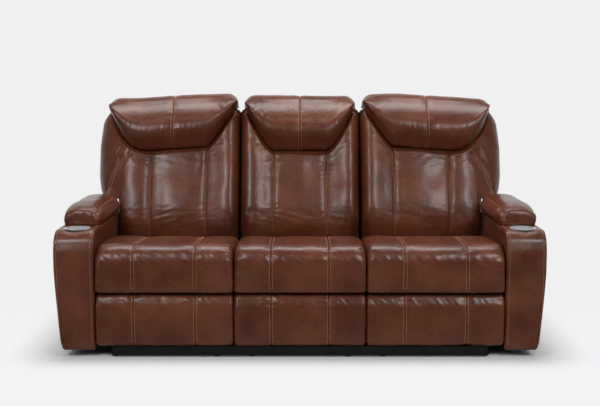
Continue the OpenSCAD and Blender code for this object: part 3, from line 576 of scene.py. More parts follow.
def seat_cushion(name, s):
    """Side view of lip, bulging front, round crown and falling top, carried across the seat and swollen."""
    lo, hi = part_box("seat_cushion_" + name)
    cx, half = across("seat_cushion_" + name)
    channel, seed = CHANNEL[abs(s)], 10 * (s + 2)
    x = spread(-half, half, 200, (-channel, channel))
    d = end_inset(half - np.abs(x), 0.026)
    y0, y1, lip, crown = lo.y, hi.y, lo.z, hi.z
    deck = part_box("seat_frame_" + name)[1].z
    ring = outline([
        (y0 + 0.003 + 0.5 * d, lip - 0.003 + d / 8, 0.006, 1),
        (y0 - 0.001 + 0.6 * d, lip + 0.046, 0.35, 1),
        (y0 + 0.007 + d, crown - d, 0.088, 1),
        (y0 + 0.62 * (y1 - y0), crown - 0.016 - d, 0.5, 0.7),
        (y1 - d / 3, crown - 0.058 - d, 0.024, 0.25), (y1 - d / 3, deck + 0.0005, 0.005, 0.2),
        (y0 + 0.034, deck + 0.0005, 0.0002, 0.4), (y0 + 0.034, lip - 0.003 + d / 8, 0.004, 0.8)], 300)
    obj = skin("seat_leather_" + name, across_sofa(cx + x, ring))

    def height(co, no):
        """Crowned panels, channels, gathers, slow waves and the creases under the crown, where it shows."""
        px, y, z = co[:, 0] - cx, co[:, 1], co[:, 2]
        up, front = np.clip(no[:, 2], 0, 1), np.clip(-no[:, 1], 0, 1)
        show = smooth(0.1, 0.5, up + front) * (0.35 + 0.65 * smooth(lip + 0.002, lip + 0.03, z))
        run = np.where(up > front, y, -z)
        edge = half - np.abs(px)
        panel = 0.0022 * np.cos(px / channel * math.pi / 2) ** 2 * (np.abs(px) < channel)
        side = np.clip((np.abs(px) - channel) / (half - channel), 0, 1)
        panel = panel + 0.0032 * np.sin(side * math.pi) * (np.abs(px) > channel)
        h = panel * smooth(lip, lip + 0.07, z)
        h += channel_dip(px, channel) * smooth(lip + 0.002, lip + 0.02, z)
        h += gathers(seed, np.abs(px) - channel, run + 0.3 * np.sign(px))
        h += 0.0035 * noise(seed + 2, px / 0.13, y / 0.12, z / 0.10)
        h += 0.0011 * noise(seed + 3, px / 0.045, y / 0.05, z / 0.045)
        below = bell(z - (crown - 0.055), 0.034) * front
        h += 0.0012 * below * noise(seed + 4, (px + 0.7 * z) / 0.0125, z / 0.045)
        h += 0.0015 * below * noise(seed + 5, (px + 0.5 * z) / 0.026, z / 0.05)
        h -= 0.005 * bell(edge - 0.012, 0.02) * bell(z - (crown - 0.030), 0.022)
        h += 0.0015 * bell(edge, 0.05) * noise(seed + 6, px / 0.05, (y + z) / 0.018)
        return h * show

    swell(obj, height)
    upholster(obj, "seat_" + name, 0.8, "seat_cushion_" + name)
    line = ring[len(x) // 2]
    seen = (line[:, 0] < y0 + 0.03) | (line[:, 1] > deck + 0.03)
    line = line[seen & (line[:, 1] > lip + 0.010) & (line[:, 0] < y1 - 0.06)]
    stitching("seat_stitches_" + name, obj, double_rows(from_lowest(line, 3), cx, channel), "seat_" + name)


def footrest_pad(name, s):
    """Side view of the padded panel carried across it with drawn-in ends, then swollen."""
    lo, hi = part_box("footrest_pad_" + name)
    cx, half = across("footrest_pad_" + name)
    channel, seed = CHANNEL[abs(s)], 40 + 10 * (s + 2)
    x = spread(-half, half, 180, (-channel, channel))
    d = end_inset(half + 0.0008 - np.abs(x), 0.016)
    y0, y1, z0, z1 = lo.y, hi.y, lo.z - 0.003, hi.z + 0.001
    ring = outline([
        (y0 + 0.004 + d, z0 + d, 0.026, 1),
        (y0 - 0.001 + d, (z0 + z1) / 2 + 0.005, 0.4, 1),
        (y0 + 0.003 + d, z1 - 0.046 - 0.5 * d, 0.07, 1),
        (y0 + 0.018 + d, z1 - 0.007 - d, 0.026, 1),
        (y1, z1 - 0.005 - d, 0.009, 0.5), (y1, z0 + 0.006 + d, 0.009, 1)], 190)
    obj = skin("footrest_leather_" + name, across_sofa(cx + x, ring))

    def height(co, no):
        """A crowned front with channels, gathers, slow waves and creases along its upper and lower edges."""
        px, y, z = co[:, 0] - cx, co[:, 1], co[:, 2]
        front = np.clip(-no[:, 1] + 0.7 * np.abs(no[:, 2]), 0, 1)
        show = smooth(y1 - 0.004, y1 - 0.02, y)
        edge = half - np.abs(px)
        h = 0.003 * np.sin(np.clip((z - z0) / (z1 - z0), 0, 1) * math.pi)
        h = h + channel_dip(px, channel)
        h += gathers(seed, np.abs(px) - channel, z + 0.3 * np.sign(px))
        h += 0.0030 * noise(seed + 2, px / 0.12, y / 0.10, z / 0.09)
        h += 0.0010 * noise(seed + 3, px / 0.04, y / 0.05, z / 0.04)
        top = bell(z - (z1 - 0.030), 0.024)
        h += 0.0012 * top * noise(seed + 4, (px + 0.7 * z) / 0.0125, z / 0.045)
        h += 0.0012 * top * noise(seed + 7, (px + 0.5 * z) / 0.028, z / 0.05)
        low = bell(z - (z0 + 0.025), 0.018)
        h += 0.0014 * low * noise(seed + 5, (px - 0.4 * z) / 0.024, z / 0.05)
        h += 0.0018 * bell(edge, 0.035) * noise(seed + 6, px / 0.05, z / 0.016)
        return h * show * front

    swell(obj, height)
    upholster(obj, "footrest_" + name, 0.85, "footrest_pad_" + name)
    line = ring[len(x) // 2]
    line = from_lowest(line[line[:, 0] < y1 - 0.012], 2)
    stitching("footrest_stitches_" + name, obj, double_rows(line, cx, channel), "footrest_" + name)


# Backs and headrests


def bowl(s, x):
    """Height of the headrest's lower edge: level, a hyperbola's bend, then a power of the distance."""
    x = np.asarray(x, float) - HEAD_SHIFT[s]
    outer = x > 0
    flat = np.where(outer, HEAD_FLAT[s][1], HEAD_FLAT[s][0])
    power = np.where(outer, HEAD_RISE[s][1], HEAD_RISE[s][0])
    a = np.clip((np.abs(x) - flat) / (HEAD_HALF[s] - flat), 0, 1)
    bend = np.where(outer, HEAD_BEND[s][1], HEAD_BEND[s][0])
    a = (np.sqrt(a ** 2 + bend ** 2) - bend) / (np.sqrt(1 + bend ** 2) - bend)
    low = HEAD_LOW_U + s * HEAD_TILT * np.clip((0.12 - x) / 0.27, 0, 1) ** 1.2
    return low + a ** power * (np.where(outer, HEAD_END_U[s][1], HEAD_END_U[s][0]) - low)


def back_top(s, x):
    """Height of the back's top: level, then falling as the tenth power of the distance."""
    a = np.clip(np.abs(x - HEAD_SHIFT[s]) / (HEAD_HALF[s] + 0.060), 0, 1.03)
    return BACK_LEN - 0.004 - 0.080 * a ** 10


def lean(side, x, v, u):
    """A back's own place (x outwards from its seat's centre, v, u) turned by its lean into x, y, z."""
    sign = side or 1
    return np.stack([sign * (abs(seat_x[side]) + x), hinge_y + v * math.cos(LEAN) + u * math.sin(LEAN),
                     hinge_z + u * math.cos(LEAN) - v * math.sin(LEAN)], -1)


def unlean(side, co):
    """The way back from x, y, z to a back's own x, v, u."""
    sign = side or 1
    y, z = co[:, 1] - hinge_y, co[:, 2] - hinge_z
    return (sign * co[:, 0] - abs(seat_x[side]), y * math.cos(LEAN) - z * math.sin(LEAN),
            y * math.sin(LEAN) + z * math.cos(LEAN))


def back_edges(name, side):
    """Inner edge, outer edge and wing edge of a back, from its seat's centre."""
    lo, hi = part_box("back_cushion_" + name)
    near, far = sorted((abs(lo.x), abs(hi.x)))
    if side == 0:
        return lo.x, hi.x, hi.x
    return near - abs(seat_x[side]), far - abs(seat_x[side]) - WING_W, far - abs(seat_x[side])


def wing_edge(s, x_out, u):
    """Outer edge at height u: the body's side, then the wing's quarter-round lower corner and sloping top."""
    if s == 0:
        return np.full_like(u, x_out)
    h = np.clip((u - WING_U) / WING_ROUND, 0, 1)
    full = np.sqrt(1 - (1 - h) ** 2)
    full = full * (1 - 0.10 * smooth(0.34, 0.23, u))
    slope = 1 - 0.10 * smooth(0.48, 0.60, u) - 0.42 * smooth(0.575, 0.665, u)
    return x_out + (WING_W + WING_FULL) * full * slope


def diagonal_seam(x, u):
    """Distance from the seam between the headrest's and the wing's lower corners: level gap times slant."""
    return (x - curve(u, SEAM_U, SEAM_X)) * SEAM_SLANT


def back_relief(s, x, u, x_in, x_out, seed):
    """Forward swelling of the back's front: lumbar roll, panels, channels, folds and creases."""
    c, ch = BACK_CENTRE[s], BACK_CHANNEL[s]
    step = bowl(s, x) - STEP_UNDER
    d = np.abs(np.abs(x - c) - ch)
    centre = np.abs(x - c) < ch
    inner = np.clip((c - ch - x) / (c - ch - x_in), 0, 1)
    outer = np.clip((x - c - ch) / (x_out - c - ch), 0, 1)
    h = (0.006 + 0.005 * s) * np.cos(np.clip((x - c) / ch, -1, 1) * math.pi / 2) * centre
    h += 0.021 * np.sin(inner ** 1.7 * math.pi) + 0.006 * np.sin(inner * math.pi)
    h += (0.021 - 0.008 * s) * np.sin(outer ** (1.7 - 0.6 * s) * math.pi)
    h += 0.006 * (1 - s) * np.sin(outer * math.pi)
    h += -0.0042 * bell(d, 0.011) - 0.0036 * bell(d, 0.0030) + 0.0008 * bell(d - 0.030, 0.015)
    h += 0.5 * gathers(seed, np.abs(x - c) - ch, u + 0.3 * np.sign(x - c))
    h -= 0.012 * smooth(step - 0.018, step + 0.006, u)
    h += 0.0045 * noise(seed + 2, x / 0.13, u / 0.18)
    h += 0.0021 * noise(seed + 3, x / 0.06, u / 0.075)
    lumbar = bell(u - 0.110, 0.060)
    h += 0.0011 * lumbar * noise(seed + 4, (x + 0.2 * u) / 0.045, (u + 0.25 * x) / 0.014)
    h += 0.0009 * lumbar * crease(seed + 8, (x + 0.3 * u) / 0.08, (u + 0.2 * x) / 0.03)
    under = bell(step - u - 0.040, 0.026)
    h += 0.0018 * under * noise(seed + 5, (x + 0.4 * u) / 0.04, (u - 0.3 * x) / 0.022)
    edge = np.minimum(x - x_in, np.maximum(x_out - x, 0.03) + 0.1 * s)
    h += 0.0018 * bell(edge, 0.045) * noise(seed + 6, x / 0.05, u / 0.026)
    for corner in (x - x_in,) if s else (x - x_in, x_out - x):
        h -= 0.012 * bell(corner - 0.45 * (u - 0.035), 0.016) * bell(u - 0.07, 0.055)
        h -= 0.014 * smooth(0.085, 0.015, corner) * smooth(0.14, 0.04, u)
    if s:
        seam = diagonal_seam(x, u)
        on = smooth(0.215, 0.25, u) * smooth(0.445, 0.42, u)
        groove = -0.0040 * bell(seam, 0.013) - 0.0030 * bell(seam, 0.0028)
        h += on * (groove + 0.4 * gathers(seed + 9, seam, u))
        shoulder = bell(x - 0.285, 0.055) * bell(u - 0.43, 0.055)
        h += 0.0042 * shoulder * noise(seed + 7, (x - u) / 0.05, (x + u) / 0.024)
    return h


def back_cushion(name, side):
    """Level rings piled up the back, each a rounded box profile q times the front's depth.

    The rings are level up to RISE_U, then fan out to the step under the headrest, roll over it and
    close behind the headrest up to the top.
    """
    s, seed = abs(side), 70 + 10 * (side + 2)
    x_in, x_out, x_wing = back_edges(name, side)
    x_in, x_out = x_in - SIDE_SWELL, x_out + SIDE_SWELL + 0.0010 * s
    c, ch = BACK_CENTRE[s], BACK_CHANNEL[s]
    soft, turn = 0.048, 0.055 - 0.015 * s
    low = np.linspace(BACK_LOW, WING_U, 56)
    curl = WING_U + WING_ROUND * (1 - np.cos(np.linspace(0.04, 1, 16) * math.pi / 2))
    low = np.concatenate([low, curl, [RISE_U - 0.012, RISE_U - 0.006]])
    rise = np.linspace(0, 1, 92)[:, None]
    roll = np.linspace(0.15, 1, 7)[:, None] * math.pi / 2
    pile = np.linspace(0, 1, 14)[:, None]
    rising = slice(len(low), len(low) + len(rise))
    front_rows = slice(0, rising.stop)
    rolling, piled = slice(rising.stop, rising.stop + len(roll)), slice(-len(pile), None)
    nominal = np.concatenate([low, RISE_U + RISE * rise[:, 0], np.full(len(roll), 0.592),
                              np.linspace(0.60, BACK_LEN, len(pile))])
    edge = wing_edge(s, x_out, nominal)[:, None]
    t = np.linspace(0, 1, 46) ** 1.4 * math.pi / 2
    wing = s * smooth(WING_U, WING_U + WING_ROUND, nominal)[:, None]
    power = 0.62 - 0.36 * s + 0.58 * wing
    mid = spread(x_in + soft, x_out - turn, 190, (c - ch, c + ch))
    ones = np.ones((len(nominal), 1))
    x = np.concatenate([
        ones * (x_in + soft * (1 - np.sin(t[::-1]) ** 0.62)), ones * mid[1:-1],
        x_out - turn + (edge - x_out + turn) * np.sin(t) ** power,
        edge + (x_in - edge) * np.linspace(0, 1, 16)[1:-1]], 1)
    q = np.concatenate([
        ones * np.cos(t[::-1]) ** 0.62, ones * np.ones(len(mid) - 2),
        np.cos(t) ** power, ones * np.zeros(14)], 1)
    q = np.clip(q, 0, 1)
    belly = smooth(0.155, 0.180, nominal) * smooth(WING_U + 0.04, WING_U, nominal)
    full = x + s * 0.011 * belly[:, None] * 4 * q * (1 - q)
    x = np.where(x > x_out - turn, np.minimum(full, edge), x)
    top = back_top(s, x)
    step = np.minimum(bowl(s, x) - STEP_UNDER, top - 0.036)
    u = low[0] + 0 * x
    u[:len(low)] = low[:, None]
    u[rising] = RISE_U + rise * (step[rising] - RISE_U)
    u[rolling] = step[rolling] + 0.012 * np.sin(roll)
    u[piled] = step[piled] + 0.014 + (top[piled] - step[piled] - 0.014) * np.sin(pile * math.pi / 2)
    depth = curve(u, (0.032, 0.09, 0.152, 0.24, 0.33, 0.40, 0.46, 0.60),
                  (0.112, 0.139, 0.146, 0.139, 0.126, 0.118, 0.112, 0.102))
    depth = depth - 0.028 * smooth(x_out - turn, x_wing + 0.001, x) * s
    depth = depth + back_relief(s, x, u, x_in, x_out, seed)
    depth[rolling] = STEP_V + (depth[rolling] - STEP_V) * np.cos(roll)
    depth[piled] = STEP_V * (1 - 0.25 * smooth(0.8, 1, pile))
    v = -depth * q - 0.0004
    near_wing = smooth(x_out - 0.012, x_out + 0.020, x)
    hang = s * q * near_wing * smooth(WING_U + 0.09, WING_U, nominal)[:, None]
    obj = skin("back_leather_" + name, lean(side, x, v, u - WING_DROP * hang))
    upholster(obj, "back_" + name, 0.75, "back_cushion_" + name)
    rows = []
    for off in (-ROW, ROW):
        for x0 in (c - ch, c + ch):
            pu = np.linspace(0.045, float(bowl(s, x0)) - 0.020, 160)
            column = np.argmin(np.abs(x[0] - x0))
            near = np.interp(pu, nominal[front_rows], depth[front_rows, column])
            rows.append(lean(side, np.full(len(pu), x0 + off), -near, pu))
        if s:
            pu = np.linspace(0.238, 0.418, 80)
            px = curve(pu, SEAM_U, SEAM_X) + off / SEAM_SLANT
            level = np.argmin(np.abs(u[front_rows, 200][None] - pu[:, None]), axis=1)
            column = np.argmin(np.abs(x[80][None] - px[:, None]), axis=1)
            rows.append(lean(side, px, -depth[level, column], pu))
    stitching("back_stitches_" + name, obj, rows, "back_" + name)


def headrest(name, side):
    """Side view of the pillow, over the back's top and down to the bowl edge, carried across and swollen."""
    s, seed = abs(side), 110 + 10 * (side + 2)
    half, shift = HEAD_HALF[s], HEAD_SHIFT[s]
    x = spread(-half, half, 200, (0,))
    d = end_inset(half - np.abs(x), 0.050)
    top = HEAD_TOP_U + s * (0.004 - 0.020 * smooth(-half, half, x))
    top = top + (0.004 + 0.006 * s) * (1 - (x / half) ** 2)
    u0 = np.minimum(bowl(s, x + shift) + 0.003, top - d - 0.016)
    sit = np.minimum(BACK_LEN + 0.002, top - d - 0.008)
    ring = outline([
        (HEAD_REAR_V, u0, 0.005, 0.3), (HEAD_REAR_V, sit, 0.014, 0.3),
        (0.025 - 0.3 * d, sit, 0.005, 0.6), (0.033 - d, top - d, 0.024, 1),
        (-0.078, top - 0.004 - d, 0.090, 1.2),
        (-0.140 + 0.9 * d, u0 + 0.68 * (top - u0) - 0.5 * d, 0.200, 1.2),
        (HEAD_FRONT_V - 0.010 + 0.8 * d, u0 + 0.29 * (top - u0), 0.080, 1.2),
        (HEAD_FRONT_V + 0.060 + 0.8 * d, u0, 0.050, 1)], 230)
    p = lean(side, shift + x[:, None] + 0 * ring[..., 0], ring[..., 0], ring[..., 1])
    obj = skin("headrest_leather_" + name, p)

    def height(co, no):
        """The middle seam's crease with gathers, slow waves, pleats below, folds at the ends and the rim."""
        px, v, u = unlean(side, co)
        low = bowl(s, px)
        px = px - shift
        show = smooth(HEAD_REAR_V + 0.010, HEAD_REAR_V - 0.012, v)
        show = np.clip(show + smooth(BACK_LEN + 0.02, BACK_LEN + 0.035, u), 0, 1)
        run = u - 0.8 * v
        h = -0.0022 * bell(px, 0.014) - 0.0028 * bell(px, 0.0026) + 0.001 * bell(np.abs(px) - 0.034, 0.018)
        h += 0.7 * gathers(seed, np.abs(px), run + 0.3 * np.sign(px))
        h += 0.0040 * noise(seed + 2, px / 0.14, run / 0.12)
        h += 0.0008 * noise(seed + 3, px / 0.05, run / 0.06)
        level = (u - low) / (HEAD_TOP_U - low)
        pleat = bell(level - 0.30, 0.12)
        pleat = pleat * smooth(half, half - 0.10, np.abs(px)) * smooth(0.012, 0.03, np.abs(px))
        h += 0.0009 * pleat * noise(seed + 4, (px + 0.1 * u) / 0.0105, u / 0.07)
        h += 0.0005 * pleat * crease(seed + 5, px / 0.020, u / 0.08)
        rim = u - low - 0.030
        slope = 1 / np.sqrt(1 + (2.2 * np.clip(np.abs(px) - 0.13, 0, 1) * 8) ** 2)
        corner = bell(np.abs(px) - half + 0.045, 0.05) * bell(u - 0.62, 0.06)
        corner = corner * (1 - 0.8 * s * (px > 0))
        h += 0.0014 * corner * noise(seed + 6, (px + u) / 0.06, (u - px) / 0.017)
        fold = bell(rim * slope + 0.012, 0.022) * smooth(0.10, 0.16, np.abs(px))
        h += 0.0018 * fold * noise(seed + 7, (px * 2 + u) / 0.05, (u - 2 * px) / 0.035)
        return h * show

    swell(obj, height)
    upholster(obj, "back_" + name, 0.8, "headrest_" + name)
    line = ring[len(x) // 2]
    line = line[(line[:, 0] < HEAD_REAR_V - 0.02) | (line[:, 1] > BACK_LEN + 0.030)]
    line = np.roll(line, -np.argmax(line[:, 0] + line[:, 1]), axis=0)
    rows = [lean(side, np.full(len(line), shift + off), line[:, 0], line[:, 1]) for off in (-ROW, ROW)]
    stitching("headrest_stitches_" + name, obj, rows, "back_" + name)


# Arms


def arm_cover(name, side):
    """Side view of the arm carried across its strip, closed by rings that shrink over each side panel.

    f is 0 on the strip and grows to 1 at the middle of a side panel, where the ring has shrunk to a core.
    """
    lo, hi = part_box("arm_cover_" + name)
    x0, x1 = sorted((abs(lo.x), abs(hi.x)))
    y0, y1, z0, z1 = lo.y, hi.y, lo.z, hi.z
    seed = 150 + side
    span = (y1 - y0, z1 - z0)
    t = spread(0, 1, 76, (0.055, 0.945), 2.0, 0.04)
    strip = x0 + (x1 - x0) * t
    d = end_inset(np.minimum(strip - x0, x1 - strip), 0.010)
    inner_f = np.concatenate([np.linspace(0.96, 0.04, 16), [0.015]])
    outer_f = np.concatenate([[0.012], np.linspace(0.03, 0.97, 48)])
    d = np.concatenate([np.full(len(inner_f), d[0]), d, np.full(len(outer_f), d[-1])])
    x = np.concatenate([np.full(len(inner_f), x0), strip, np.full(len(outer_f), x1)])
    f = np.concatenate([inner_f, 0 * strip, outer_f])[:, None]
    ring = outline([
        (y0 + d, z0 + d, 0.006, 1), (y0 + d, z1 - 0.084, 0.12, 1),
        (y0 + 0.013 + d, z1 - 0.034, 0.05, 1.2), (y0 + 0.044 + d, z1 - d, 0.05, 1.2),
        (y1 - d, z1 - d, 0.012, 0.6), (y1 - d, z0 + d, 0.006, 0.4)], 320)
    inset = 0.46 * min(span)
    core_y = np.clip(ring[..., 0], y0 + inset, y1 - inset)
    core_z = np.clip(ring[..., 1], z0 + inset, z1 - inset)
    y = ring[..., 0] + (core_y - ring[..., 0]) * f
    z = ring[..., 1] + (core_z - ring[..., 1]) * f
    side_out = (f > 0) & (x[:, None] > (x0 + x1) / 2)
    xx = np.broadcast_to(x[:, None], y.shape).copy()
    cross = (xx - x0) / (x1 - x0)
    # the strip's crown, its two sewn edges and its slow waves, flat under the cup's flange
    on_strip = f == 0
    edge = np.minimum(xx - x0, x1 - xx)
    lift = 0.0030 * np.sin(np.clip(cross, 0, 1) * math.pi) - 0.0022 * bell(edge - 0.0105, 0.0032)
    lift += 0.0016 * noise(seed, cross * 1.4, y / 0.10, z / 0.10)
    lift += 0.0007 * noise(seed + 9, cross * 4, y / 0.04, z / 0.04)
    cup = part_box("cup_holder_" + name)
    cup_x, cup_y = abs(cup[0].x + cup[1].x) / 2, (cup[0].y + cup[1].y) / 2
    r = np.hypot(xx - cup_x, y - cup_y) + 1e-6
    on_top = (z > z1 - 0.02) & on_strip
    lift = np.where(on_top, lift * smooth(0.060, 0.080, r), lift) * on_strip * (z >= z0 + 0.02)
    up, round_front = z > z1 - ARM_ROUND, y < y0 + ARM_ROUND
    normal_y = np.where(up, np.where(round_front, (y - y0) / ARM_ROUND - 1, 0), np.sign(y - (y0 + y1) / 2))
    normal_z = np.where(up, np.where(round_front, (z - z1) / ARM_ROUND + 1, 1), 0)
    y = y + lift * normal_y
    z = z + lift * normal_z
    # the side panels' slack, flat under the switch plate
    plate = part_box("switch_plate_" + name)
    py, pz = (plate[0].y + plate[1].y) / 2, (plate[0].z + plate[1].z) / 2
    flat = smooth(0.07, 0.13, np.hypot(y - py, z - pz))
    puff = 0.0035 * noise(seed + 3, y / 0.16, z / 0.15) + 0.0012 * noise(seed + 4, y / 0.05, z / 0.06)
    puff += -0.001 + 0.0020 * bell(z - z0 - 0.05, 0.05) * noise(seed + 5, y / 0.03, z / 0.08)
    xx = xx + side_out * smooth(0.0, 0.12, f) * puff * flat
    taper = ARM_TAPER * np.clip((ARM_TAPER_Z - z) / (ARM_TAPER_Z - z0), 0, 1) ** 1.35
    taper += ARM_FOOT_TAPER * (1 - smooth(z0 - 0.004, z0 + 0.036, z))
    xx = xx - taper * smooth(0.0, 1.0, cross)
    # the well for the cup, with a steep wall under its flange
    on_top = (z > z1 - 0.02) & on_strip
    well, rim = on_top & (r < WELL_R), on_top & (r >= WELL_R) & (r < RIM_OUT_R)
    reach = np.where(well, np.minimum(r, WELL_WALL_R), np.where(rim, np.maximum(r, RIM_R), r))
    xx, y = cup_x + (xx - cup_x) * reach / r, cup_y + (y - cup_y) * reach / r
    z = np.where(well, z - WELL_DEEP, z)
    obj = skin("arm_leather_" + name, np.stack([side * xx, y, z], -1))
    upholster(obj, "base", 0.5, "arm_cover_" + name)
    line = outline([(y0, z0 + 0.02, 0.001, 1), (y0, z1, ARM_ROUND, 1), (y1 - 0.01, z1, 0.010, 1),
                    (y1 - 0.01, z0 + 0.02, 0.001, 0.01)], 500)[0]
    line = from_lowest(line[(line[:, 1] > z0 + 0.022) & (line[:, 0] < y1 - 0.012)], 2)
    rows = [np.column_stack([np.full(len(line), side * place), line])
            for place in (x0 + ARM_SEAM, x1 - ARM_SEAM)]
    stitching("arm_stitches_" + name, obj, rows, "base")


def away(points, path):
    """Distance from each point to the nearest point of a path, and that one's place along the path."""
    step = np.concatenate([[0], np.cumsum(np.linalg.norm(np.diff(path, axis=0), axis=1))])
    gap = np.linalg.norm(points[:, None] - path[None], axis=-1)
    nearest = np.argmin(gap, axis=1)
    return gap[np.arange(len(points)), nearest], step[nearest]


def arm_pad(name, side):
    """Domed sections carried along the arm, rising as a quarter ellipse behind a low rounded front.

    A section is an upright wall to 0.34 of its height, a dome (powers of cosine and sine) and a flat foot.
    """
    lo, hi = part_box("arm_pad_" + name)
    x0, x1 = sorted((abs(lo.x), abs(hi.x)))
    y0, y1, z0, z1 = lo.y, hi.y, lo.z, hi.z
    seed = 170 + side
    mid, half, high = (x0 + x1) / 2, (x1 - x0) / 2, z1 - z0
    edge, tail, rise, walled, outer, inner = 0.016, 0.060, 0.150, 0.34, 0.90, 0.60
    y = np.concatenate([
        y0 + edge * (1 - np.cos(np.linspace(0.02, 1, 18) * math.pi / 2)),
        np.linspace(y0 + edge, y0 + rise, 50)[1:], np.linspace(y0 + rise, y1 - tail, 46)[1:],
        y1 - tail * (1 - np.cos(np.linspace(0.02, 1, 26) * math.pi / 2))[::-1][1:]])
    near, far = np.clip(1 - (y - y0) / edge, 0, 1), np.clip(1 - (y1 - y) / tail, 0, 1)
    slope = np.clip(1 - (y - y0) / rise, 0, 1)
    tall = 0.48 + 0.39 * np.sqrt(1 - slope ** 2.2)
    shut = edge * (1 - np.sqrt(1 - near ** 2)) + 0.050 * (1 - (1 - far ** 2.2) ** (1 / 2.2))
    wide = (half * (0.88 + 0.12 * np.sqrt(1 - slope ** 2)) - shut)[:, None]
    tall = (high * tall - shut)[:, None]
    a = np.linspace(0, math.pi, 150)
    dome_x = np.sign(np.cos(a)) * np.abs(np.cos(a)) ** np.where(np.cos(a) > 0, outer, inner)
    dome_z = walled + (1 - walled) * np.sin(a) ** 0.86
    wall = np.linspace(0, 1, 18)
    foot = 0.92 + 0.08 * np.sin(wall * math.pi / 2)
    sx = np.concatenate([foot, dome_x[1:-1], -foot[::-1], np.linspace(-0.90, 0.90, 24)])
    sz = np.concatenate([walled * wall, dome_z[1:-1], walled * wall[::-1], np.zeros(24)])
    bulge = smooth(0, 0.10, y - y0) * smooth(y1 - 0.006, y1 - 0.040, y)
    x = mid + wide * sx[None] - 0.016 * np.clip(-sx, 0, 1) ** 6 * bulge[:, None]
    z = z0 + 0.06 * (high - tall) * near[:, None] + tall * sz[None]
    obj = skin("arm_pad_leather_" + name, np.stack([side * x, y[:, None] + 0 * x, z], -1))
    # the seam: along the inner side under the dome, then down the front's inner corner
    at = np.linspace(y1 - 0.05, y0 + 0.030, 60)
    level, width, turn = np.interp(at, y, tall[:, 0]), np.interp(at, y, wide[:, 0]), 0.60
    line = np.column_stack([mid - width * math.cos(turn) ** inner, at,
                            z0 + level * (walled + (1 - walled) * math.sin(turn) ** 0.86)])
    down = np.linspace(0, 1, 26)[1:, None]
    corner = np.array([mid - 0.80 * half, y0 - 0.002, z0 + 0.012])
    over = np.array([mid - 0.80 * half, y0 + 0.002, line[-1, 2] - 0.006])
    bend = (1 - down) ** 2 * line[-1] + 2 * down * (1 - down) * over + down ** 2 * corner
    line = np.concatenate([line, bend]) * (side, 1, 1)

    def height(co, no):
        """The seam's groove with puckers, slow waves, and folds at the front's roll and the foot."""
        px, py, pz = side * co[:, 0] - mid, co[:, 1] - y0, co[:, 2] - z0
        up = np.clip(no[:, 2] * 0.6 + 0.6, 0, 1) * smooth(0.0, 0.012, pz)
        gap, run = away(co, line)
        h = -0.0036 * bell(gap, 0.010) - 0.0022 * bell(gap, 0.0030)
        pucker = (0.0010 + 0.0018 * smooth(0.28, 0.40, run)) * bell(gap - 0.008, 0.016)
        h += pucker * noise(seed + 2, run / 0.008, gap / 0.03)
        h += 0.0030 * noise(seed, px / 0.08, py / 0.10, pz / 0.08)
        h += 0.0008 * noise(seed + 1, px / 0.03, py / 0.035, pz / 0.03)
        roll = bell(py - 0.020, 0.030) * bell(pz - 0.040, 0.022)
        h += 0.0030 * roll * noise(seed + 3, (px + 0.4 * pz) / 0.022, pz / 0.020)
        h += 0.0022 * bell(pz - 0.014, 0.016) * noise(seed + 4, (px + py) / 0.018, pz / 0.03)
        return h * up

    swell(obj, height)
    upholster(obj, "base", 0.8, "arm_pad_" + name)
    stitching("arm_pad_stitches_" + name, obj, [line[2:-3] + (0, 0, 0.005)], "base")


# Rear leather


def back_cover(name, side):
    """Level rings up the rear of a back: rear depth times a rounded box profile, with two upright seams.

    Beyond the outer seam the columns stretch out in proportion over the wing.
    """
    s, seed = abs(side), 190 + 10 * (side + 2)
    x_in, x_out = back_edges(name, side)[:2]
    low = np.linspace(REAR_LOW, WING_U, 50)
    curl = WING_U + WING_ROUND * (1 - np.cos(np.linspace(0.05, 1, 12) * math.pi / 2))
    u = np.concatenate([low, curl, np.linspace(0.283, 0.640, 58), [0.646, 0.651, 0.654, BACK_LEN]])
    edge = wing_edge(s, x_out, u)[:, None]
    t = np.linspace(0, 1, 24) ** 1.4 * math.pi / 2
    soft, turn, fixed = 0.012, 0.016, REAR_SEAM + 0.015
    mid = spread(x_in + soft, x_out - turn, 110, (-REAR_SEAM, REAR_SEAM))[None]
    ones = np.ones((len(u), 1))
    mid = mid + (edge - x_out) * np.clip((mid - fixed) / (x_out - turn - fixed), 0, 1)
    x = np.concatenate([
        ones * (x_in + soft * (1 - np.sin(t[::-1]) ** 0.6)), mid[:, 1:-1],
        edge - turn + turn * np.sin(t) ** 0.6,
        edge + (x_in - edge) * np.linspace(0, 1, 12)[1:-1]], 1)
    x = x + 2 * SIDE_SWELL * (x - (x_in + x_out) / 2) / (x_out - x_in) * smooth(0.03, 0.12, u)[:, None]
    q = np.concatenate([ones * np.cos(t[::-1]) ** 0.6, ones * np.ones(mid.shape[1] - 2),
                        ones * np.cos(t) ** 0.6, ones * np.zeros(10)], 1)
    u = u[:, None] + 0 * x
    d = np.abs(x) - REAR_SEAM
    deep = REAR_V + 0.004 * noise(seed, x / 0.15, u / 0.2) - 0.004 * bell(d, 0.012) - 0.002 * bell(d, 0.0026)
    deep += gathers(seed + 1, d, u)
    deep -= 0.030 * smooth(0.610, 0.655, u) ** 2 + 0.004 * smooth(-0.060, -0.090, u)
    front = 0.001 + 0.074 * smooth(0.03, 0.0, u)
    v = front + (deep - front) * np.clip(q, 0, 1)
    top = np.minimum(u, back_top(s, x) + 0.004)
    obj = skin("back_outer_leather_" + name, lean(side, x, v, top))
    upholster(obj, "back_" + name, 0.4, "back_cover_" + name)
    pu = np.linspace(REAR_LOW + 0.015, BACK_LEN - 0.040, 200)
    rows = [lean(side, x0 + off + 0 * pu, REAR_V + 0 * pu, pu)
            for x0 in (-REAR_SEAM, REAR_SEAM) for off in (-ROW, ROW)]
    stitching("back_outer_stitches_" + name, obj, rows, "back_" + name)


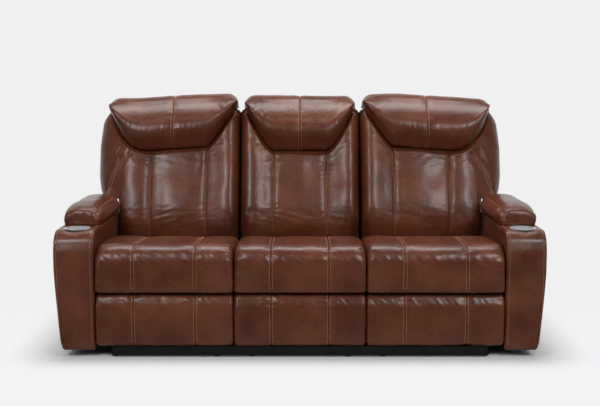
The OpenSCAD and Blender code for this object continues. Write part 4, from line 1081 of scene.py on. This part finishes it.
def rear_skirt():
    """A leather panel: level rings with rounded edges, and a well for the power inlet."""
    lo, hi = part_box("rear_skirt")
    y1, y0 = hi.y, hi.y - 0.010
    x = spread(lo.x, hi.x, 330, (0,), 6, 0.03)
    d = end_inset(np.minimum(x - lo.x, hi.x - x), 0.004)
    ring = outline([(y0 + d, lo.z + d, 0.002, 0.2), (y0 + d, hi.z - d, 0.002, 0.3),
                    (y1 - d, hi.z - d, 0.004, 1), (y1 - d, lo.z + d, 0.004, 0.3)], 110)
    y, z = ring[..., 0], ring[..., 1]
    xx = np.broadcast_to(x[:, None], y.shape).copy()
    r = np.hypot(xx, z - 0.090)
    rear = y > y1 - 0.001
    y = y + rear * smooth(0.012, 0.05, r) * (0.0015 * noise(211, xx / 0.12, z / 0.08) - 0.0010)
    y = np.where(rear & (r < 0.0092), y0 + 0.0010, y)
    obj = skin("rear_skirt_leather", np.stack([xx, y, z], -1))
    upholster(obj, "base", 0.2, "rear_skirt")
    px = np.linspace(lo.x + 0.02, hi.x - 0.02, 300)
    rows = [np.column_stack([px, y1 + 0 * px, level + 0 * px]) for level in (hi.z - 0.010, lo.z + 0.010)]
    stitching("rear_skirt_stitches", obj, rows, "base")


for seat, number in SEATS.items():
    seat_cushion(seat, number)
    footrest_pad(seat, number)
    back_cushion(seat, number)
    headrest(seat, number)
    back_cover(seat, number)
for arm in ("left", "right"):
    arm_cover(arm, SEATS[arm])
    arm_pad(arm, SEATS[arm])
rear_skirt()

# Floor, lights and camera


def bowl_mesh():
    """A round floor that curves up into a wall: rings of growing radius, with z = bend (1 - cos) past it."""
    turn = np.linspace(0, 2 * math.pi, 72, endpoint=False)[None, :]
    s = np.linspace(0, math.pi / 2, 30)[1:]
    r = np.concatenate([np.linspace(0.3, FLOOR_R, 30), FLOOR_R + WALL_BEND * np.sin(s),
                        [FLOOR_R + WALL_BEND + 0.05]])[:, None]
    z = np.concatenate([np.zeros(30), WALL_BEND * (1 - np.cos(s)), [WALL_TOP]])[:, None]
    p = np.stack(np.broadcast_arrays(r * np.cos(turn), r * np.sin(turn), z), -1)
    return tube("studio_floor", p, 0)


def outside_footprint(m, place):
    """0 on the sofa's footprint to 1 past the shadow: length of max(|place - centre| - half, 0)."""
    lo, hi = cad_box
    half = ((hi[0] - lo[0]) / 2 - SHADOW_IN, (hi[1] - lo[1]) / 2 - SHADOW_IN, 50.0)
    centre = ((hi[0] + lo[0]) / 2, (hi[1] + lo[1]) / 2, 0)
    folded = m.node("VectorMath", {"operation": "ABSOLUTE"})
    m.set(folded.inputs[0], m.math("SUBTRACT", place, centre, "VectorMath"))
    outside = m.math("MAXIMUM", m.math("SUBTRACT", folded, half, "VectorMath"), (0, 0, 0), "VectorMath")
    reach = m.node("VectorMath", {"operation": "LENGTH"})
    m.set(reach.inputs[0], outside)
    return m.node("MapRange", {"interpolation_type": "SMOOTHSTEP"}, Value=reach.outputs["Value"],
                  From_Max=SHADOW_REACH)


def floor():
    """Pale studio paper that glows at a plain level for camera, mirrored and clear rays outside the shadow.

    Mirrored rays see it darker in front of the sofa, as in the photograph.
    """
    obj = link("studio_floor", bowl_mesh())
    m = Paint("studio paper")
    speck = m.noise(m.place(), 3.0, 3.0)
    m.shade(Base_Color=m.ramp(speck, (0.3, 0.79), (0.7, 0.81)), Roughness=0.9)
    place = m.node("TexCoord").outputs["Object"]
    depth = m.node("SeparateXYZ", Vector=place).outputs["Y"]
    path = m.node("LightPath")
    direct, mirrored, through = (path.outputs[kind] for kind in
                                 ("Is Camera Ray", "Is Glossy Ray", "Is Transmission Ray"))
    behind = m.node("MapRange", Value=depth, From_Min=0.6, From_Max=2.5, To_Min=0.15)
    shown = m.math("MAXIMUM", m.math("MAXIMUM", direct, mirrored), through)
    level = m.math("MAXIMUM", m.math("MAXIMUM", direct, m.math("MULTIPLY", mirrored, behind)), through)
    # painted shade: the glow's colour is 0.925 in front of the sofa and falls to 0.875 under it, behind it
    # and up the wall, where less light falls
    painted_falloff = m.ramp(m.node("MapRange", Value=depth, From_Min=-1.6, From_Max=0.6),
                  (0.0, (0.925, 0.922, 0.922)), (1.0, (0.875, 0.872, 0.875)))
    glow = m.node("Emission", Color=painted_falloff, Strength=level)
    both = m.node("MixShader", Fac=m.math("MULTIPLY", shown, outside_footprint(m, place)))
    m.set(both.inputs[1], m.shader)
    m.set(both.inputs[2], glow)
    m.set(m.tree.nodes["Material Output"].inputs["Surface"], both)
    obj.data.materials.append(m.mat)


def lamp(name, place, aim, size, power):
    """A soft rectangular lamp at a place, facing a point."""
    data = bpy.data.lights.new(name, "AREA")
    data.shape, data.size, data.size_y, data.energy = "RECTANGLE", size[0], size[1], power
    obj = link(name, data)
    back = [place[k] - aim[k] for k in range(3)]
    obj.location = place
    obj.rotation_euler = Vector(back).to_track_quat("Z", "Y").to_euler()
    obj.visible_camera = False


def camera():
    """The photograph's view: straight from the front, from a little above the backs, tilted down."""
    data = bpy.data.cameras.new("camera")
    data.lens, data.sensor_width = LENS, 36
    obj = link("camera", data)
    obj.location = (0, front_y - CAMERA_AWAY, CAMERA_Z)
    obj.rotation_euler = (math.radians(90 - CAMERA_TILT), 0, 0)
    bpy.context.scene.camera = obj


floor()
for hand, way in (("left", -1), ("right", 1)):
    lamp("front_" + hand + "_softbox", (way * 1.75, -2.7, 2.35), (0, 0, 0.55), (0.9, 1.0), 38)
    lamp(hand + "_strip", (way * 3.0, -1.9, 1.5), (0, 0, 0.7), (0.45, 1.7), 7)
lamp("top_softbox", (0, 0.15, 3.0), (0, 0.05, 0.6), (3.0, 0.9), 68)
camera()

world = bpy.data.worlds.new("studio")
world.use_nodes = True
bpy.context.scene.world = world
sky = world.node_tree.nodes["Background"]
sky.inputs[0].default_value = (0.9, 0.9, 0.9, 1)
sky.inputs[1].default_value = 0.06

bpy.context.scene.view_settings.view_transform = "Standard"
